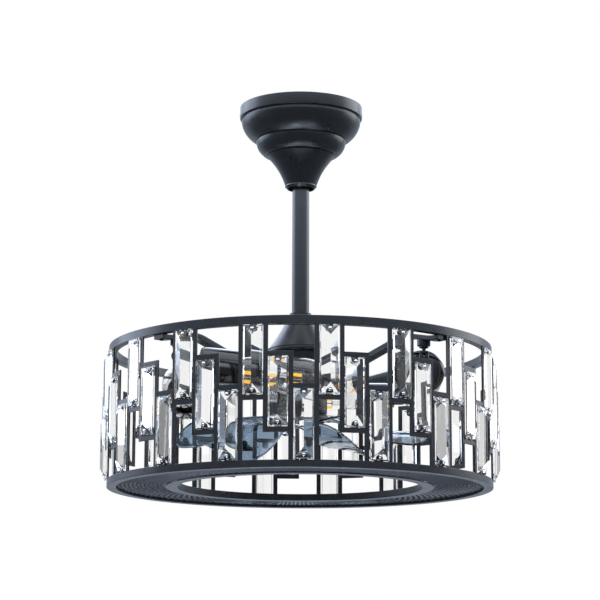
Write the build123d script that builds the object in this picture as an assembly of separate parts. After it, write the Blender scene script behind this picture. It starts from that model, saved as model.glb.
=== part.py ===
from build123d import *
import os
from math import asin, cos, degrees, radians, sin, sqrt, tan

# A fan light that hangs from a ceiling. The origin is the centre of its ceiling plate,
# +Z points up into the ceiling, and -Y is the front. All sizes are millimetres.

os.makedirs("parts", exist_ok=True)

# Fits and small shared values
running_gap = 0.05
seat_gap = 0.1
free_gap = 0.3
overrun = 1.0
quarter_turn = 90
full_turn = 360

# Drum cage
ceiling_to_ring = 334.0
cage_height = 186.0
ring_radius = 254.0
ring_width = 10.0
top_ring_height = 10.8
bottom_ring_height = 9.1
unit_count = 17
slots_in_unit = 3
first_crystal_angle = -13.14
bar_width = 6.0
bar_thickness = 2.0
crossbar_height = 6.2
cell_height = 86.8

# Crystals, their tabs and pins
crystal_side_gap = 0.33
crystal_height = 86.3
crystal_plinth = 3.4
crystal_depth = 9.6
crystal_border = 1.2
crystal_hip = 14.0
pin_inset = 5.5
pin_radius = 1.1
pin_head_radius = 2.3
pin_head_height = 1.1
pin_seat_height = 4.6
tab_width = 9.0
tab_length = 9.5
tab_thickness = 1.2
tab_setback = 0.6

# Bottom net and inner rim
ledge_width = 2.5
ledge_height = 2.8
net_thickness = 1.0
net_rows = 5
net_columns = 60
net_strand = 2.2
rim_outer_radius = 176.5
rim_flange_width = 15.5
rim_flange_thickness = 1.2
rim_wall = 2.0
rim_height = 9.4

# Canopy, a stepped shell
canopy_radius = 83.0
canopy_wall = 1.5
canopy_rim_height = 16.0
groove_depth = 2.8
groove_height = 1.4
bulge_one_inset = 2.0
bulge_one_turn_inset = 3.5
bulge_one_drop = 37.0
step_one_share = 0.453
step_one_drop = 46.0
bulge_two_inset = 1.7
bulge_two_drop = 59.5
step_two_width = 3.5
step_two_drop = 66.0
cone_radius = 45.5
cone_turn_radius = 28.0
cone_turn_drop = 86.0
neck_radius = 21.5
neck_drop = 107.5
neck_lip_drop = 113.0
neck_hole_radius = 17.4
step_recess = 0.8

# Bracket on the ceiling
plate_width = 44.0
plate_thickness = 2.5
box_hole_spacing = 88.9
box_slot_length = 14.0
box_slot_width = 5.2
ear_width = 16.0
ear_height = 14.0
strap_gap = 61.0
strap_width = 38.0
socket_top_drop = 56.0
socket_bottom_drop = 71.0
canopy_screw_drop = 9.0
canopy_screw_radius = 2.0
canopy_screw_length = 11.0
canopy_screw_head_radius = 3.8
canopy_screw_head_depth = 1.2
receiver_length = 90.0
receiver_width = 48.0
receiver_height = 18.0
receiver_corner = 4.0

# Ball hanger and rod
ball_drop = 50.0
ball_radius = 24.0
ball_cut = 17.0
liner_thickness = 3.0
liner_top_offset = 4.0
liner_bottom_offset = 19.0
rod_radius = 11.5
rod_wall = 1.6
rod_swing_room = 3.0
rod_top_drop = 34.0
rod_pin_radius = 3.0
rod_pin_overhang = 6.5

# Motor bell, coupling and motor, measured from the top ring's upper face
bell_height = 47.0
bell_top_radius = 16.0
bell_turn_radius = 25.0
bell_turn_height = 24.0
bell_radius = 43.3
bell_wall = 1.6
bell_collar_height = 3.0
coupling_radius = 16.0
coupling_height = 33.0
coupling_floor = 6.0
coupling_pin_height = 22.0
set_screw_height = 13.0
set_screw_radius = 2.0
motor_flange_radius = 42.6
motor_flange_thickness = 5.2
motor_radius = 35.6
motor_wall = 2.2
motor_drop = 80.0
base_cap_height = 7.5
base_cap_round = 5.5
base_cap_upstand = 8.0
shaft_radius = 4.0
bearing_radius = 11.0
bearing_width = 7.0
bearing_boss_radius = 15.0
bearing_lip = 1.5
stator_top_drop = 30.0
stator_inner_radius = 20.5
stator_iron_radius = 28.5
tooth_count = 12
tooth_width = 4.4
coil_thickness = 1.7
coil_gap = 1.0
rotor_core_radius = 16.5
magnet_radius = 19.8
magnet_count = 8
magnet_gap_angle = 6

# Arms and their collar
arm_count = 4
arm_collar_radius = 46.0
arm_collar_flat = 42.5
arm_collar_top_drop = 41.0
arm_collar_bottom_drop = 59.0
arm_width = 18.0
arm_thickness = 6.0
arm_end_inset = 3.0
arm_foot_length = 14.0
arm_rise_length = 45.0
arm_crest_drop = 1.3
arm_flange_width = 29.0
arm_flange_thickness = 4.0
arm_flange_height = 16.0
arm_screw_spacing = 23.2
arm_screw_radius = 1.5
arm_screw_head_radius = 2.4
arm_screw_head_height = 1.4
ring_screw_inset = 8.0

# Lamp swivels
lamp_inset = 34.0
boss_radius = 7.0
boss_step_radius = 5.0
boss_step_height = 2.2
boss_drop = 23.4
knuckle_drop = 35.2
neck_post_radius = 2.4
swivel_post_radius = 3.0
swivel_post_height = 8.0
fork_disc_radius = 5.6
fork_slot = 5.0
fork_cheek = 2.7
fork_bridge_height = 2.1
eye_radius = 4.6
eye_thickness = 4.4
knuckle_pin_radius = 1.5
link_radius = 2.1
link_reach = 11.0
link_drop = 13.0
link_bend = 8.0

# Lamp cup, holder and bulb, measured along the lamp from the knuckle
lamp_tilts = (6, 0, 0, 0)
cup_start = 28.0
cup_length = 64.0
cup_radius = 28.5
cup_wall = 1.6
cup_round = 9.0
cup_boss_radius = 5.5
cup_boss_length = 4.0
holder_radius = 16.0
holder_length = 36.0
holder_floor = 12.0
cap_radius = 13.0
cap_wall = 0.8
cap_length = 25.5
cap_floor = 1.5
glass_wall = 0.9
glass_neck_radius = 12.0
glass_start = 60.0
glass_neck_end = 72.0
glass_swell = 112.0
glass_widest = 160.0
glass_radius = 28.0
glass_tip = 191.0
glass_seat_gap = 0.2
stem_radius = 3.0
stem_length = 52.0
stem_flare_length = 2.0
filament_radius = 1.0
filament_length = 48.0
filament_circle = 8.0
filament_count = 4
lead_thickness = 0.8

# Rotor hub and blades, measured from the top ring's upper face
hub_top_drop = 89.0
hub_flange_radius = 33.0
hub_flange_thickness = 5.0
hub_boss_radius = 15.0
hub_boss_drop = 110.0
hub_cap_height = 9.0
blade_count = 5
blade_phase = -9
blade_sweep = 170.0
blade_thickness = 2.2
blade_root_start = 23.0
blade_root_end = 43.0
blade_root_width = 30.0
blade_root_thickness = 2.5
blade_chord = 88.0
blade_mid_drop = 122.0
blade_camber = 6.0
blade_pitch = -18
blade_screw_place = 28.0
blade_screw_spacing = 16.0
blade_screw_radius = 1.6
blade_screw_head_radius = 3.0
blade_screw_head_height = 1.6

# Places that follow from the sizes above
ring_top = -ceiling_to_ring
window_top = ring_top - top_ring_height
cage_bottom = ring_top - cage_height
window_bottom = cage_bottom + bottom_ring_height
window_middle = (window_top + window_bottom) / 2
ring_inner_radius = ring_radius - ring_width
rim_inner_radius = rim_outer_radius - rim_flange_width
ring_screw_radius_place = ring_radius - ring_screw_inset
arm_end_radius = ring_radius - arm_end_inset
arm_foot_radius = arm_end_radius - arm_foot_length
arm_crest_radius = arm_foot_radius - arm_rise_length
lamp_place_radius = ring_radius - lamp_inset
bar_inner_radius = ring_radius - bar_thickness
slot_angle = full_turn / (unit_count * slots_in_unit)
unit_angle = full_turn / unit_count
bar_half_angle = degrees(asin(bar_width / 2 / ring_radius))
cell_half_angle = slot_angle / 2 - bar_half_angle
crystal_back = ring_radius - tab_setback
crystal_width = 2 * (crystal_back * tan(radians(cell_half_angle)) - crystal_side_gap)
bulge_one_radius = canopy_radius - bulge_one_inset
bulge_one_turn = bulge_one_radius - bulge_one_turn_inset
step_one_radius = cone_radius + step_one_share * (canopy_radius - cone_radius)
bulge_two_radius = step_one_radius - bulge_two_inset
step_two_radius = cone_radius + step_two_width
ball_centre = -ball_drop


def save(node, shapes):
    """Write one node's solids to its own file."""
    solids = shapes if isinstance(shapes, list) else [shapes]
    whole = solids[0] if len(solids) == 1 else Compound(children=solids)
    export_step(whole, f"parts/{node}.step")


def rod_between(radius, low, high):
    """A round bar on the Z axis between two heights."""
    return Pos(0, 0, (low + high) / 2) * Cylinder(radius, high - low)


def tube_between(outer, inner, low, high):
    """A tube on the Z axis between two heights."""
    return rod_between(outer, low, high) - rod_between(inner, low - overrun, high + overrun)


def block(x_from, x_to, y_from, y_to, z_from, z_to):
    """A box between corners."""
    centre = Pos((x_from + x_to) / 2, (y_from + y_to) / 2, (z_from + z_to) / 2)
    return centre * Box(x_to - x_from, y_to - y_from, z_to - z_from)


def bar_along_x(radius, x_from, x_to, y=0, z=0):
    """A round bar along X between two places."""
    return Pos((x_from + x_to) / 2, y, z) * Rot(0, quarter_turn, 0) * Cylinder(radius, x_to - x_from)


def outline_face(outline):
    """A face in the XZ plane. Each outline entry is a point, or a control point and a point."""
    edges = []
    start = outline[0]
    for entry in outline[1:] + [outline[0]]:
        if isinstance(entry[0], tuple):
            turn, end = entry
            edges.append(Bezier((start[0], 0, start[1]), (turn[0], 0, turn[1]), (end[0], 0, end[1])))
        else:
            end = entry
            edges.append(Line((start[0], 0, start[1]), (end[0], 0, end[1])))
        start = end
    return Face(Wire(edges))


def turned(outline):
    """The outline turned about the Z axis."""
    return revolve(outline_face(outline), Axis.Z, full_turn)


def turned_along_x(outline):
    """An outline of (along, radius) turned about the X axis."""
    return revolve(outline_face(outline), Axis.X, full_turn)


def around(shape, count, start=0):
    """Copies of a shape evenly round the Z axis."""
    return [Rot(0, 0, start + full_turn * step / count) * shape for step in range(count)]


def from_front(angle):
    """Turns a shape built on the +X side to an angle counted from the front, towards +X."""
    return Rot(0, 0, angle - quarter_turn)


def sector(inner, outer, half_angle, low, high):
    """A slice of a ring, centred on +X, with radial ends."""
    turn = radians(half_angle)
    near_start = (inner * cos(turn), -inner * sin(turn))
    near_end = (inner * cos(turn), inner * sin(turn))
    far_start = (outer * cos(turn), -outer * sin(turn))
    far_end = (outer * cos(turn), outer * sin(turn))
    edges = [
        Line(near_start, far_start),
        ThreePointArc(far_start, (outer, 0), far_end),
        Line(far_end, near_end),
        ThreePointArc(near_end, (inner, 0), near_start),
    ]
    return Pos(0, 0, low) * extrude(Face(Wire(edges)), high - low, dir=(0, 0, 1))


# Ceiling bracket

def bracket():
    """Flat plate with slots, canopy ears, and two straps down to the ball socket."""
    inside = canopy_radius - canopy_wall - free_gap
    half_length = sqrt(inside ** 2 - (ear_width / 2) ** 2)
    half_width = plate_width / 2
    plate = block(-inside, inside, -half_width, half_width, -plate_thickness, 0)
    plate = plate & rod_between(inside, -plate_thickness, 0)
    slot = extrude(SlotOverall(box_slot_length, box_slot_width), plate_thickness + overrun, both=True)
    for side in (-1, 1):
        plate -= Pos(side * box_hole_spacing / 2, 0, 0) * slot
        ear_out = side * half_length
        ear_in = side * (half_length - plate_thickness)
        plate += block(min(ear_out, ear_in), max(ear_out, ear_in),
                       -ear_width / 2, ear_width / 2, -ear_height, -plate_thickness / 2)
        strap_in = side * strap_gap / 2
        strap_out = side * (strap_gap / 2 + plate_thickness)
        plate += block(min(strap_in, strap_out), max(strap_in, strap_out),
                       -strap_width / 2, strap_width / 2, -socket_bottom_drop, 0)
    socket = block(-strap_gap / 2, strap_gap / 2, -strap_width / 2, strap_width / 2,
                   -socket_bottom_drop, -socket_top_drop)
    seat = Pos(0, 0, ball_centre) * Sphere(ball_radius + liner_thickness + 2 * free_gap)
    entry_half = rod_radius + rod_swing_room
    entry = block(-entry_half, entry_half, -strap_width, 0, -socket_bottom_drop - overrun, -socket_top_drop + overrun)
    body = plate + (socket - seat - entry)
    thread = bar_along_x(canopy_screw_radius, -half_length - overrun, half_length + overrun, 0, -canopy_screw_drop)
    return body - thread


def canopy():
    """Stepped shell: a plain rim, two bulges, and a cone that ends in a rolled neck."""
    groove_radius = canopy_radius - groove_depth
    groove_top = -canopy_rim_height
    groove_bottom = groove_top - groove_height
    outer = [
        (canopy_radius, 0),
        (canopy_radius, groove_top),
        (groove_radius, groove_top - step_recess),
        (groove_radius, groove_bottom),
        (bulge_one_radius, groove_bottom - step_recess),
        ((bulge_one_turn, -bulge_one_drop), (step_one_radius, -step_one_drop)),
        (bulge_two_radius, -step_one_drop + step_recess),
        ((bulge_two_radius - step_recess, -bulge_two_drop), (step_two_radius, -step_two_drop)),
        (cone_radius, -step_two_drop + step_recess),
        ((cone_turn_radius, -cone_turn_drop), (neck_radius, -neck_drop)),
        ((neck_radius, -neck_lip_drop), (neck_hole_radius, -neck_lip_drop)),
    ]

    def moved_in(point):
        return (point[0] - canopy_wall, point[1] + canopy_wall)

    inner = []
    previous = outer[0]
    for entry in outer[1:-1]:
        if isinstance(entry[0], tuple):
            inner.append((moved_in(previous), moved_in(entry[0]), moved_in(entry[1])))
            previous = entry[1]
        else:
            inner.append((moved_in(previous), None, moved_in(entry)))
            previous = entry
    back = []
    for start, turn, _ in reversed(inner[1:]):
        back.append((turn, start) if turn else start)
    lip_top = (neck_hole_radius, -neck_lip_drop + canopy_wall)
    closing = [lip_top, moved_in((neck_radius, -neck_drop))]
    rim_inside = [(canopy_radius - canopy_wall, 0)]
    shell = turned(outer + closing + back + rim_inside)
    hole = bar_along_x(canopy_screw_radius + seat_gap, -canopy_radius - overrun,
                       canopy_radius + overrun, 0, -canopy_screw_drop)
    shell -= hole
    sink = canopy_screw_head_depth + seat_gap
    for side in (0, 2):
        shell -= Rot(0, 0, side * quarter_turn) * bar_along_x(
            canopy_screw_head_radius + seat_gap, canopy_radius - sink, canopy_radius + overrun, 0, -canopy_screw_drop)
    return shell


def canopy_parts():
    """The canopy's rim with the first bulge, and the cone that fits into it at the first step."""
    shell = canopy()
    inside = rod_between(bulge_two_radius, -neck_lip_drop - overrun, -canopy_rim_height)
    return shell - inside, shell & inside


def canopy_screws():
    """Two flat-headed side screws through the canopy's rim into the bracket's ears."""
    head_end = canopy_radius
    head_start = canopy_radius - canopy_screw_head_depth
    screw = bar_along_x(canopy_screw_head_radius, head_start, head_end, 0, -canopy_screw_drop)
    screw += bar_along_x(canopy_screw_radius - seat_gap, head_end - canopy_screw_length, head_start,
                         0, -canopy_screw_drop)
    return around(screw, 2)


def receiver():
    """Remote control receiver, held under the bracket's plate between the straps."""
    box = Pos(0, 0, -plate_thickness - receiver_height / 2) * Box(
        receiver_width, receiver_length, receiver_height)
    return fillet(box.edges().filter_by(Axis.Z), receiver_corner)


# Ball hanger and rod

def socket_liner():
    """Bowl of nylon between the hanger ball and the bracket's socket."""
    inner = ball_radius + free_gap
    shell = Sphere(inner + liner_thickness) - Sphere(inner)
    band = block(-ball_drop, ball_drop, -ball_drop, ball_drop, -liner_bottom_offset, -liner_top_offset)
    return Pos(0, 0, ball_centre) * (shell & band)


def hanger_ball():
    """Ball with a flat top and bottom, bored for the rod and its pin."""
    ball = Sphere(ball_radius) & block(-ball_drop, ball_drop, -ball_drop, ball_drop, -ball_cut, ball_cut)
    ball -= Cylinder(rod_radius + seat_gap, ball_drop)
    ball -= bar_along_x(rod_pin_radius + seat_gap, -ball_drop, ball_drop)
    return Pos(0, 0, ball_centre) * ball


def downrod():
    """Tube from the hanger ball down into the coupling, with a pin hole near each end."""
    rod = tube_between(rod_radius, rod_radius - rod_wall, ring_top + coupling_floor, -rod_top_drop)
    for height in (ball_centre, ring_top + coupling_pin_height):
        rod -= bar_along_x(rod_pin_radius + seat_gap, -ball_drop, ball_drop, 0, height)
    return rod


def rod_pins():
    """Cross pin in the ball, cross pin in the coupling, and two set screws."""
    half_ball = sqrt(ball_radius ** 2 - rod_pin_radius ** 2) - free_gap
    half_coupling = coupling_radius + overrun
    pins = [
        bar_along_x(rod_pin_radius, -half_ball, half_ball, 0, ball_centre),
        bar_along_x(rod_pin_radius, -half_coupling, half_coupling, 0, ring_top + coupling_pin_height),
    ]
    screw = bar_along_x(set_screw_radius, rod_radius, coupling_radius + overrun, 0, ring_top + set_screw_height)
    return pins + around(screw, 2, quarter_turn)


def rod_coupling():
    """Collar on the motor that holds the rod's lower end."""
    collar = rod_between(coupling_radius, ring_top, ring_top + coupling_height)
    collar -= rod_between(rod_radius + seat_gap, ring_top + coupling_floor, ring_top + coupling_height + overrun)
    collar -= rod_between(rod_radius - rod_wall, ring_top - overrun, ring_top + coupling_height)
    through = coupling_radius + overrun
    collar -= bar_along_x(rod_pin_radius + seat_gap, -through, through, 0, ring_top + coupling_pin_height)
    thread = bar_along_x(set_screw_radius + seat_gap, -through, through, 0, ring_top + set_screw_height)
    return collar - Rot(0, 0, quarter_turn) * thread


def motor_bell():
    """Flared cover over the coupling, with a small collar round the rod."""
    top = ring_top + bell_height
    hole = rod_radius + seat_gap
    return turned([
        (hole, top + bell_collar_height),
        (bell_top_radius - bell_wall, top + bell_collar_height),
        (bell_top_radius, top),
        ((bell_turn_radius, ring_top + bell_turn_height), (bell_radius, ring_top)),
        (bell_radius - bell_wall, ring_top),
        ((bell_turn_radius - bell_wall, ring_top + bell_turn_height - bell_wall),
         (bell_top_radius - bell_wall, top - bell_wall)),
        (hole, top - bell_wall),
    ])


# Motor

def motor_housing():
    """Round flange under the bell, and the can below it with the upper bearing's seat."""
    flange_low = ring_top - motor_flange_thickness
    can_low = ring_top - motor_drop
    seat_low = flange_low - bearing_width
    body = rod_between(motor_flange_radius, flange_low, ring_top)
    body += rod_between(motor_radius, can_low, flange_low)
    body -= rod_between(motor_radius - motor_wall, can_low - overrun, flange_low - motor_wall)
    body += rod_between(bearing_boss_radius, seat_low - bearing_lip, flange_low)
    body -= rod_between(bearing_radius + running_gap, seat_low - bearing_lip - overrun, flange_low - bearing_lip)
    return body


def motor_base_cap():
    """Rounded end cap with the lower bearing's seat and a ring that holds up the stator."""
    top = ring_top - motor_drop
    bottom = top - base_cap_height
    cap = rod_between(motor_radius, bottom, top)
    cap = fillet(cap.edges().group_by(Axis.Z)[0], base_cap_round)
    upstand_outer = motor_radius - motor_wall - seat_gap
    cap += tube_between(upstand_outer, stator_iron_radius, top - overrun, top + base_cap_upstand)
    cap -= rod_between(bearing_radius + running_gap, top - bearing_width + bearing_lip, top + overrun)
    return cap - rod_between(bearing_radius - bearing_lip, bottom - overrun, top)


def bearings():
    """Sealed ball bearings at the two ends of the motor."""
    upper_top = ring_top - motor_flange_thickness - bearing_lip
    lower_bottom = ring_top - motor_drop - bearing_width + bearing_lip
    bore = shaft_radius + running_gap
    return [
        tube_between(bearing_radius, bore, upper_top - bearing_width, upper_top),
        tube_between(bearing_radius, bore, lower_bottom, lower_bottom + bearing_width),
    ]


def stator_span():
    """Lowest and highest point of the stator's iron."""
    return ring_top - motor_drop + base_cap_upstand, ring_top - stator_top_drop


def stator_core():
    """Laminated ring with inward teeth."""
    low, high = stator_span()
    core = tube_between(motor_radius - motor_wall - seat_gap, stator_iron_radius, low, high)
    tooth = block(stator_inner_radius, stator_iron_radius + overrun, -tooth_width / 2, tooth_width / 2, low, high)
    for piece in around(tooth, tooth_count):
        core += piece
    return core


def stator_windings():
    """One copper coil round each tooth."""
    low, high = stator_span()
    half = tooth_width / 2
    grown = half + coil_thickness
    coil = block(stator_inner_radius + coil_gap, stator_iron_radius - coil_gap, -grown, grown,
                 low - coil_thickness, high + coil_thickness)
    coil -= block(stator_inner_radius, stator_iron_radius, -half, half, low, high)
    return around(coil, tooth_count)


def motor_shaft():
    """Shaft from the upper bearing down through the hub."""
    top = ring_top - motor_flange_thickness - bearing_lip - seat_gap
    return rod_between(shaft_radius, ring_top - hub_boss_drop, top)


def rotor_core():
    """Iron core pressed on the shaft."""
    low, high = stator_span()
    return tube_between(rotor_core_radius, shaft_radius, low, high)


def rotor_magnets():
    """Curved magnets round the rotor core."""
    low, high = stator_span()
    half_angle = (full_turn / magnet_count - magnet_gap_angle) / 2
    return around(sector(rotor_core_radius, magnet_radius, half_angle, low, high), magnet_count)


# Arms

def arm_collar():
    """Ring round the motor with a flat for each arm."""
    low = ring_top - arm_collar_bottom_drop
    high = ring_top - arm_collar_top_drop
    collar = rod_between(arm_collar_radius, low, high)
    flats = block(-arm_collar_flat, arm_collar_flat, -arm_collar_flat, arm_collar_flat, low, high)
    collar = collar & (Rot(0, 0, quarter_turn / 2) * flats)
    collar -= rod_between(motor_radius + seat_gap, low - overrun, high + overrun)
    for shank in arm_screw_shanks(arm_screw_radius + seat_gap):
        collar -= shank
    return collar


def arm_joint_height():
    """Height of the arm's centre at the collar."""
    return ring_top - (arm_collar_top_drop + arm_collar_bottom_drop) / 2


def arm_screw_shanks(radius):
    """Two screw shanks for each arm, from the arm's flange into the collar."""
    start = arm_collar_flat - arm_flange_thickness
    end = arm_collar_flat + arm_flange_thickness
    shanks = []
    for side in (-1, 1):
        shank = bar_along_x(radius, start, end, side * arm_screw_spacing / 2, arm_joint_height())
        shanks += around(shank, arm_count, quarter_turn / 2)
    return shanks


def arm():
    """Bent bar from the collar up over a crest and down to a foot under the top ring."""
    foot_top = window_top
    foot_bottom = foot_top - arm_thickness
    crest_top = ring_top - arm_crest_drop
    crest_bottom = crest_top - arm_thickness
    joint_top = arm_joint_height() + arm_thickness / 2
    joint_bottom = arm_joint_height() - arm_thickness / 2
    bar = extrude(outline_face([
        (arm_end_radius, foot_top),
        (arm_foot_radius, foot_top),
        (arm_crest_radius, crest_top),
        (arm_collar_flat, joint_top),
        (arm_collar_flat, joint_bottom),
        (arm_crest_radius, crest_bottom),
        (arm_foot_radius, foot_bottom),
        (arm_end_radius, foot_bottom),
    ]), arm_width / 2, both=True)
    flange = block(arm_collar_flat, arm_collar_flat + arm_flange_thickness,
                   -arm_flange_width / 2, arm_flange_width / 2,
                   arm_joint_height() - arm_flange_height / 2, arm_joint_height() + arm_flange_height / 2)
    for side in (-1, 1):
        flange -= bar_along_x(arm_screw_radius + seat_gap, arm_collar_flat - overrun,
                              arm_collar_flat + arm_flange_thickness + overrun,
                              side * arm_screw_spacing / 2, arm_joint_height())
    bar += flange
    boss_low = ring_top - boss_drop
    boss_top = crest_bottom - arm_thickness / 2
    boss = rod_between(boss_radius, boss_low + boss_step_height, boss_top)
    boss += rod_between(boss_step_radius, boss_low, boss_low + boss_step_height)
    bar += Pos(lamp_place_radius, 0, 0) * boss
    bar -= Pos(lamp_place_radius, 0, 0) * rod_between(
        swivel_post_radius + running_gap, boss_low - overrun, boss_low + swivel_post_height + free_gap)
    bar -= Pos(ring_screw_radius_place, 0, 0) * rod_between(
        arm_screw_radius + seat_gap, foot_bottom - overrun, foot_top + overrun)
    return bar


def arm_screws():
    """Screws of the arms, at the collar and up into the top ring."""
    face = arm_collar_flat + arm_flange_thickness
    screws = []
    for side in (-1, 1):
        y = side * arm_screw_spacing / 2
        screw = bar_along_x(arm_screw_radius, arm_collar_flat - arm_flange_thickness, face, y, arm_joint_height())
        screw += bar_along_x(arm_screw_head_radius, face, face + arm_screw_head_height, y, arm_joint_height())
        screws += around(screw, arm_count, quarter_turn / 2)
    foot_bottom = window_top - arm_thickness
    up = rod_between(arm_screw_radius, foot_bottom, window_top + top_ring_height / 2)
    up += rod_between(arm_screw_head_radius, foot_bottom - arm_screw_head_height, foot_bottom)
    return screws + around(Pos(ring_screw_radius_place, 0, 0) * up, arm_count, quarter_turn / 2)


# Cage

def slot_angles(row):
    """Angles from the front of every slot of one row: 0 top, 1 middle, 2 low."""
    return [first_crystal_angle + unit * unit_angle + row * slot_angle for unit in range(unit_count)]


def cell_span(row):
    """Lowest and highest point of the cell that holds a row's crystals."""
    if row == 0:
        return window_top - cell_height, window_top
    if row == 1:
        return window_middle - cell_height / 2, window_middle + cell_height / 2
    return window_bottom, window_bottom + cell_height


def tab(edge, direction):
    """Round-ended tab with a hole, reaching from a cell's edge into the cell."""
    outer = crystal_back
    inner = outer - tab_thickness
    straight = tab_length - tab_width / 2
    ends = sorted((edge - direction * overrun, edge + direction * straight))
    plate = block(inner, outer, -tab_width / 2, tab_width / 2, ends[0], ends[1])
    plate += bar_along_x(tab_width / 2, inner, outer, 0, edge + direction * straight)
    hole_z = edge + direction * (pin_inset + (cell_height - crystal_height) / 2)
    return plate - bar_along_x(pin_radius + seat_gap, inner - overrun, outer + overrun, 0, hole_z)


def top_ring():
    """Square ring at the top of the cage, with tabs for the upper row."""
    ring = tube_between(ring_radius, ring_inner_radius, window_top, ring_top)
    for piece in around(Pos(ring_screw_radius_place, 0, 0) * rod_between(
            arm_screw_radius + seat_gap, window_top - overrun, window_top + top_ring_height / 2 + free_gap),
            arm_count, quarter_turn / 2):
        ring -= piece
    for angle in slot_angles(0):
        ring += from_front(angle) * tab(window_top, -1)
    return ring


def bottom_ring():
    """Square ring at the bottom, with a ledge for the net and tabs for the lower row."""
    ring = tube_between(ring_radius, ring_inner_radius, cage_bottom, window_bottom)
    ring += tube_between(ring_inner_radius + overrun, ring_inner_radius - ledge_width,
                         cage_bottom, cage_bottom + ledge_height)
    for angle in slot_angles(2):
        ring += from_front(angle) * tab(window_bottom, 1)
    return ring


def cage_bars():
    """Upright flat bars: one long and two short in each repeat of the pattern."""
    middle_low, middle_high = cell_span(1)
    spans = {
        0: (window_bottom, window_top),
        1: (middle_low - crossbar_height, window_top),
        2: (window_bottom, middle_high + crossbar_height),
    }
    bars = []
    for row, (low, high) in spans.items():
        bar = sector(bar_inner_radius, ring_radius, bar_half_angle, low, high)
        bars += [from_front(angle - slot_angle / 2) * bar for angle in slot_angles(row)]
    return bars


def cage_crossbars():
    """Short flat bars between the uprights, each with the tab of its crystal."""
    pieces = []
    for row in range(slots_in_unit):
        low, high = cell_span(row)
        ends = []
        if row < 2:
            ends.append((low - crossbar_height, low, low, 1))
        if row > 0:
            ends.append((high, high + crossbar_height, high, -1))
        for bottom, top, edge, direction in ends:
            piece = sector(bar_inner_radius, ring_radius, cell_half_angle, bottom, top) + tab(edge, direction)
            pieces += [from_front(angle) * piece for angle in slot_angles(row)]
    return pieces


def crystal():
    """Cut glass bar: a thin plinth with a hipped ridge, and a sunk pin hole near each end."""
    half_width = crystal_width / 2
    half_height = crystal_height / 2
    across = [
        (0, -half_width), (0, half_width), (crystal_plinth, half_width),
        (crystal_plinth, half_width - crystal_border), (crystal_depth, 0),
        (crystal_plinth, crystal_border - half_width), (crystal_plinth, -half_width),
    ]
    along = [
        (0, -half_height), (0, half_height), (crystal_plinth, half_height),
        (crystal_plinth, half_height - crystal_border), (crystal_depth, half_height - crystal_hip),
        (crystal_depth, crystal_hip - half_height),
        (crystal_plinth, crystal_border - half_height), (crystal_plinth, -half_height),
    ]
    upright = extrude(Face(Wire.make_polygon([(x, y, 0) for x, y in across])), crystal_height,
                      dir=(0, 0, 1), both=True)
    level = extrude(Face(Wire.make_polygon([(x, 0, z) for x, z in along])), crystal_width,
                    dir=(0, 1, 0), both=True)
    body = upright & level
    for side in (-1, 1):
        z = side * (half_height - pin_inset)
        body -= bar_along_x(pin_radius + seat_gap, -overrun, crystal_depth + overrun, 0, z)
        body -= bar_along_x(pin_head_radius + seat_gap, pin_seat_height, crystal_depth + overrun, 0, z)
    return body


def crystal_row(row):
    """All crystals of one row."""
    low, high = cell_span(row)
    place = Pos(crystal_back, 0, (low + high) / 2)
    shape = crystal()
    return [from_front(angle) * place * shape for angle in slot_angles(row)]


def crystal_pins():
    """Round-headed pins that hold each crystal to its two tabs."""
    seat = crystal_back + pin_seat_height
    pins = []
    for row in range(slots_in_unit):
        low, high = cell_span(row)
        middle = (low + high) / 2
        for side in (-1, 1):
            z = middle + side * (crystal_height / 2 - pin_inset)
            pin = bar_along_x(pin_radius, crystal_back - tab_thickness - tab_setback, seat, 0, z)
            pin += bar_along_x(pin_head_radius, seat, seat + pin_head_height, 0, z)
            pins += [from_front(angle) * pin for angle in slot_angles(row)]
    return pins


def bottom_net():
    """Annular net of diamond holes that rests on the bottom ring's ledge and the rim's flange."""
    outer = ring_inner_radius - seat_gap
    inner = rim_outer_radius - ledge_width
    open_outer = ring_inner_radius - ledge_width
    open_inner = rim_outer_radius
    step = (open_outer - open_inner) / (net_rows + 1)
    low = cage_bottom + ledge_height
    sheet = Circle(outer) - Circle(inner)
    holes = []
    for row in range(net_rows):
        radius = open_inner + step * (row + 1)
        half_radial = step - net_strand / 2
        pitch = full_turn / net_columns
        half_across = radius * radians(pitch) / 2 - net_strand / 2
        start = pitch / 2 * (row % 2)
        for column in range(net_columns):
            diamond = make_face(Polyline((radius - half_radial, 0), (radius, -half_across),
                                         (radius + half_radial, 0), (radius, half_across), close=True))
            holes.append(Rot(0, 0, start + column * pitch) * diamond)
    sheet -= holes
    return Pos(0, 0, low) * extrude(sheet, net_thickness, dir=(0, 0, 1))


def inner_rim():
    """Rim of the air outlet: an upright wall with an outward flange under the net."""
    flange_top = cage_bottom + ledge_height
    flange_low = flange_top - rim_flange_thickness
    rim = tube_between(rim_outer_radius, rim_inner_radius, flange_low, flange_top)
    return rim + tube_between(rim_inner_radius + rim_wall, rim_inner_radius, flange_low, flange_low + rim_height)


# Lamps

def lamp_centre():
    """Place of the first lamp's knuckle, under the front left arm."""
    reach = lamp_place_radius / sqrt(2)
    return Pos(-reach, -reach, ring_top - knuckle_drop)


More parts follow.
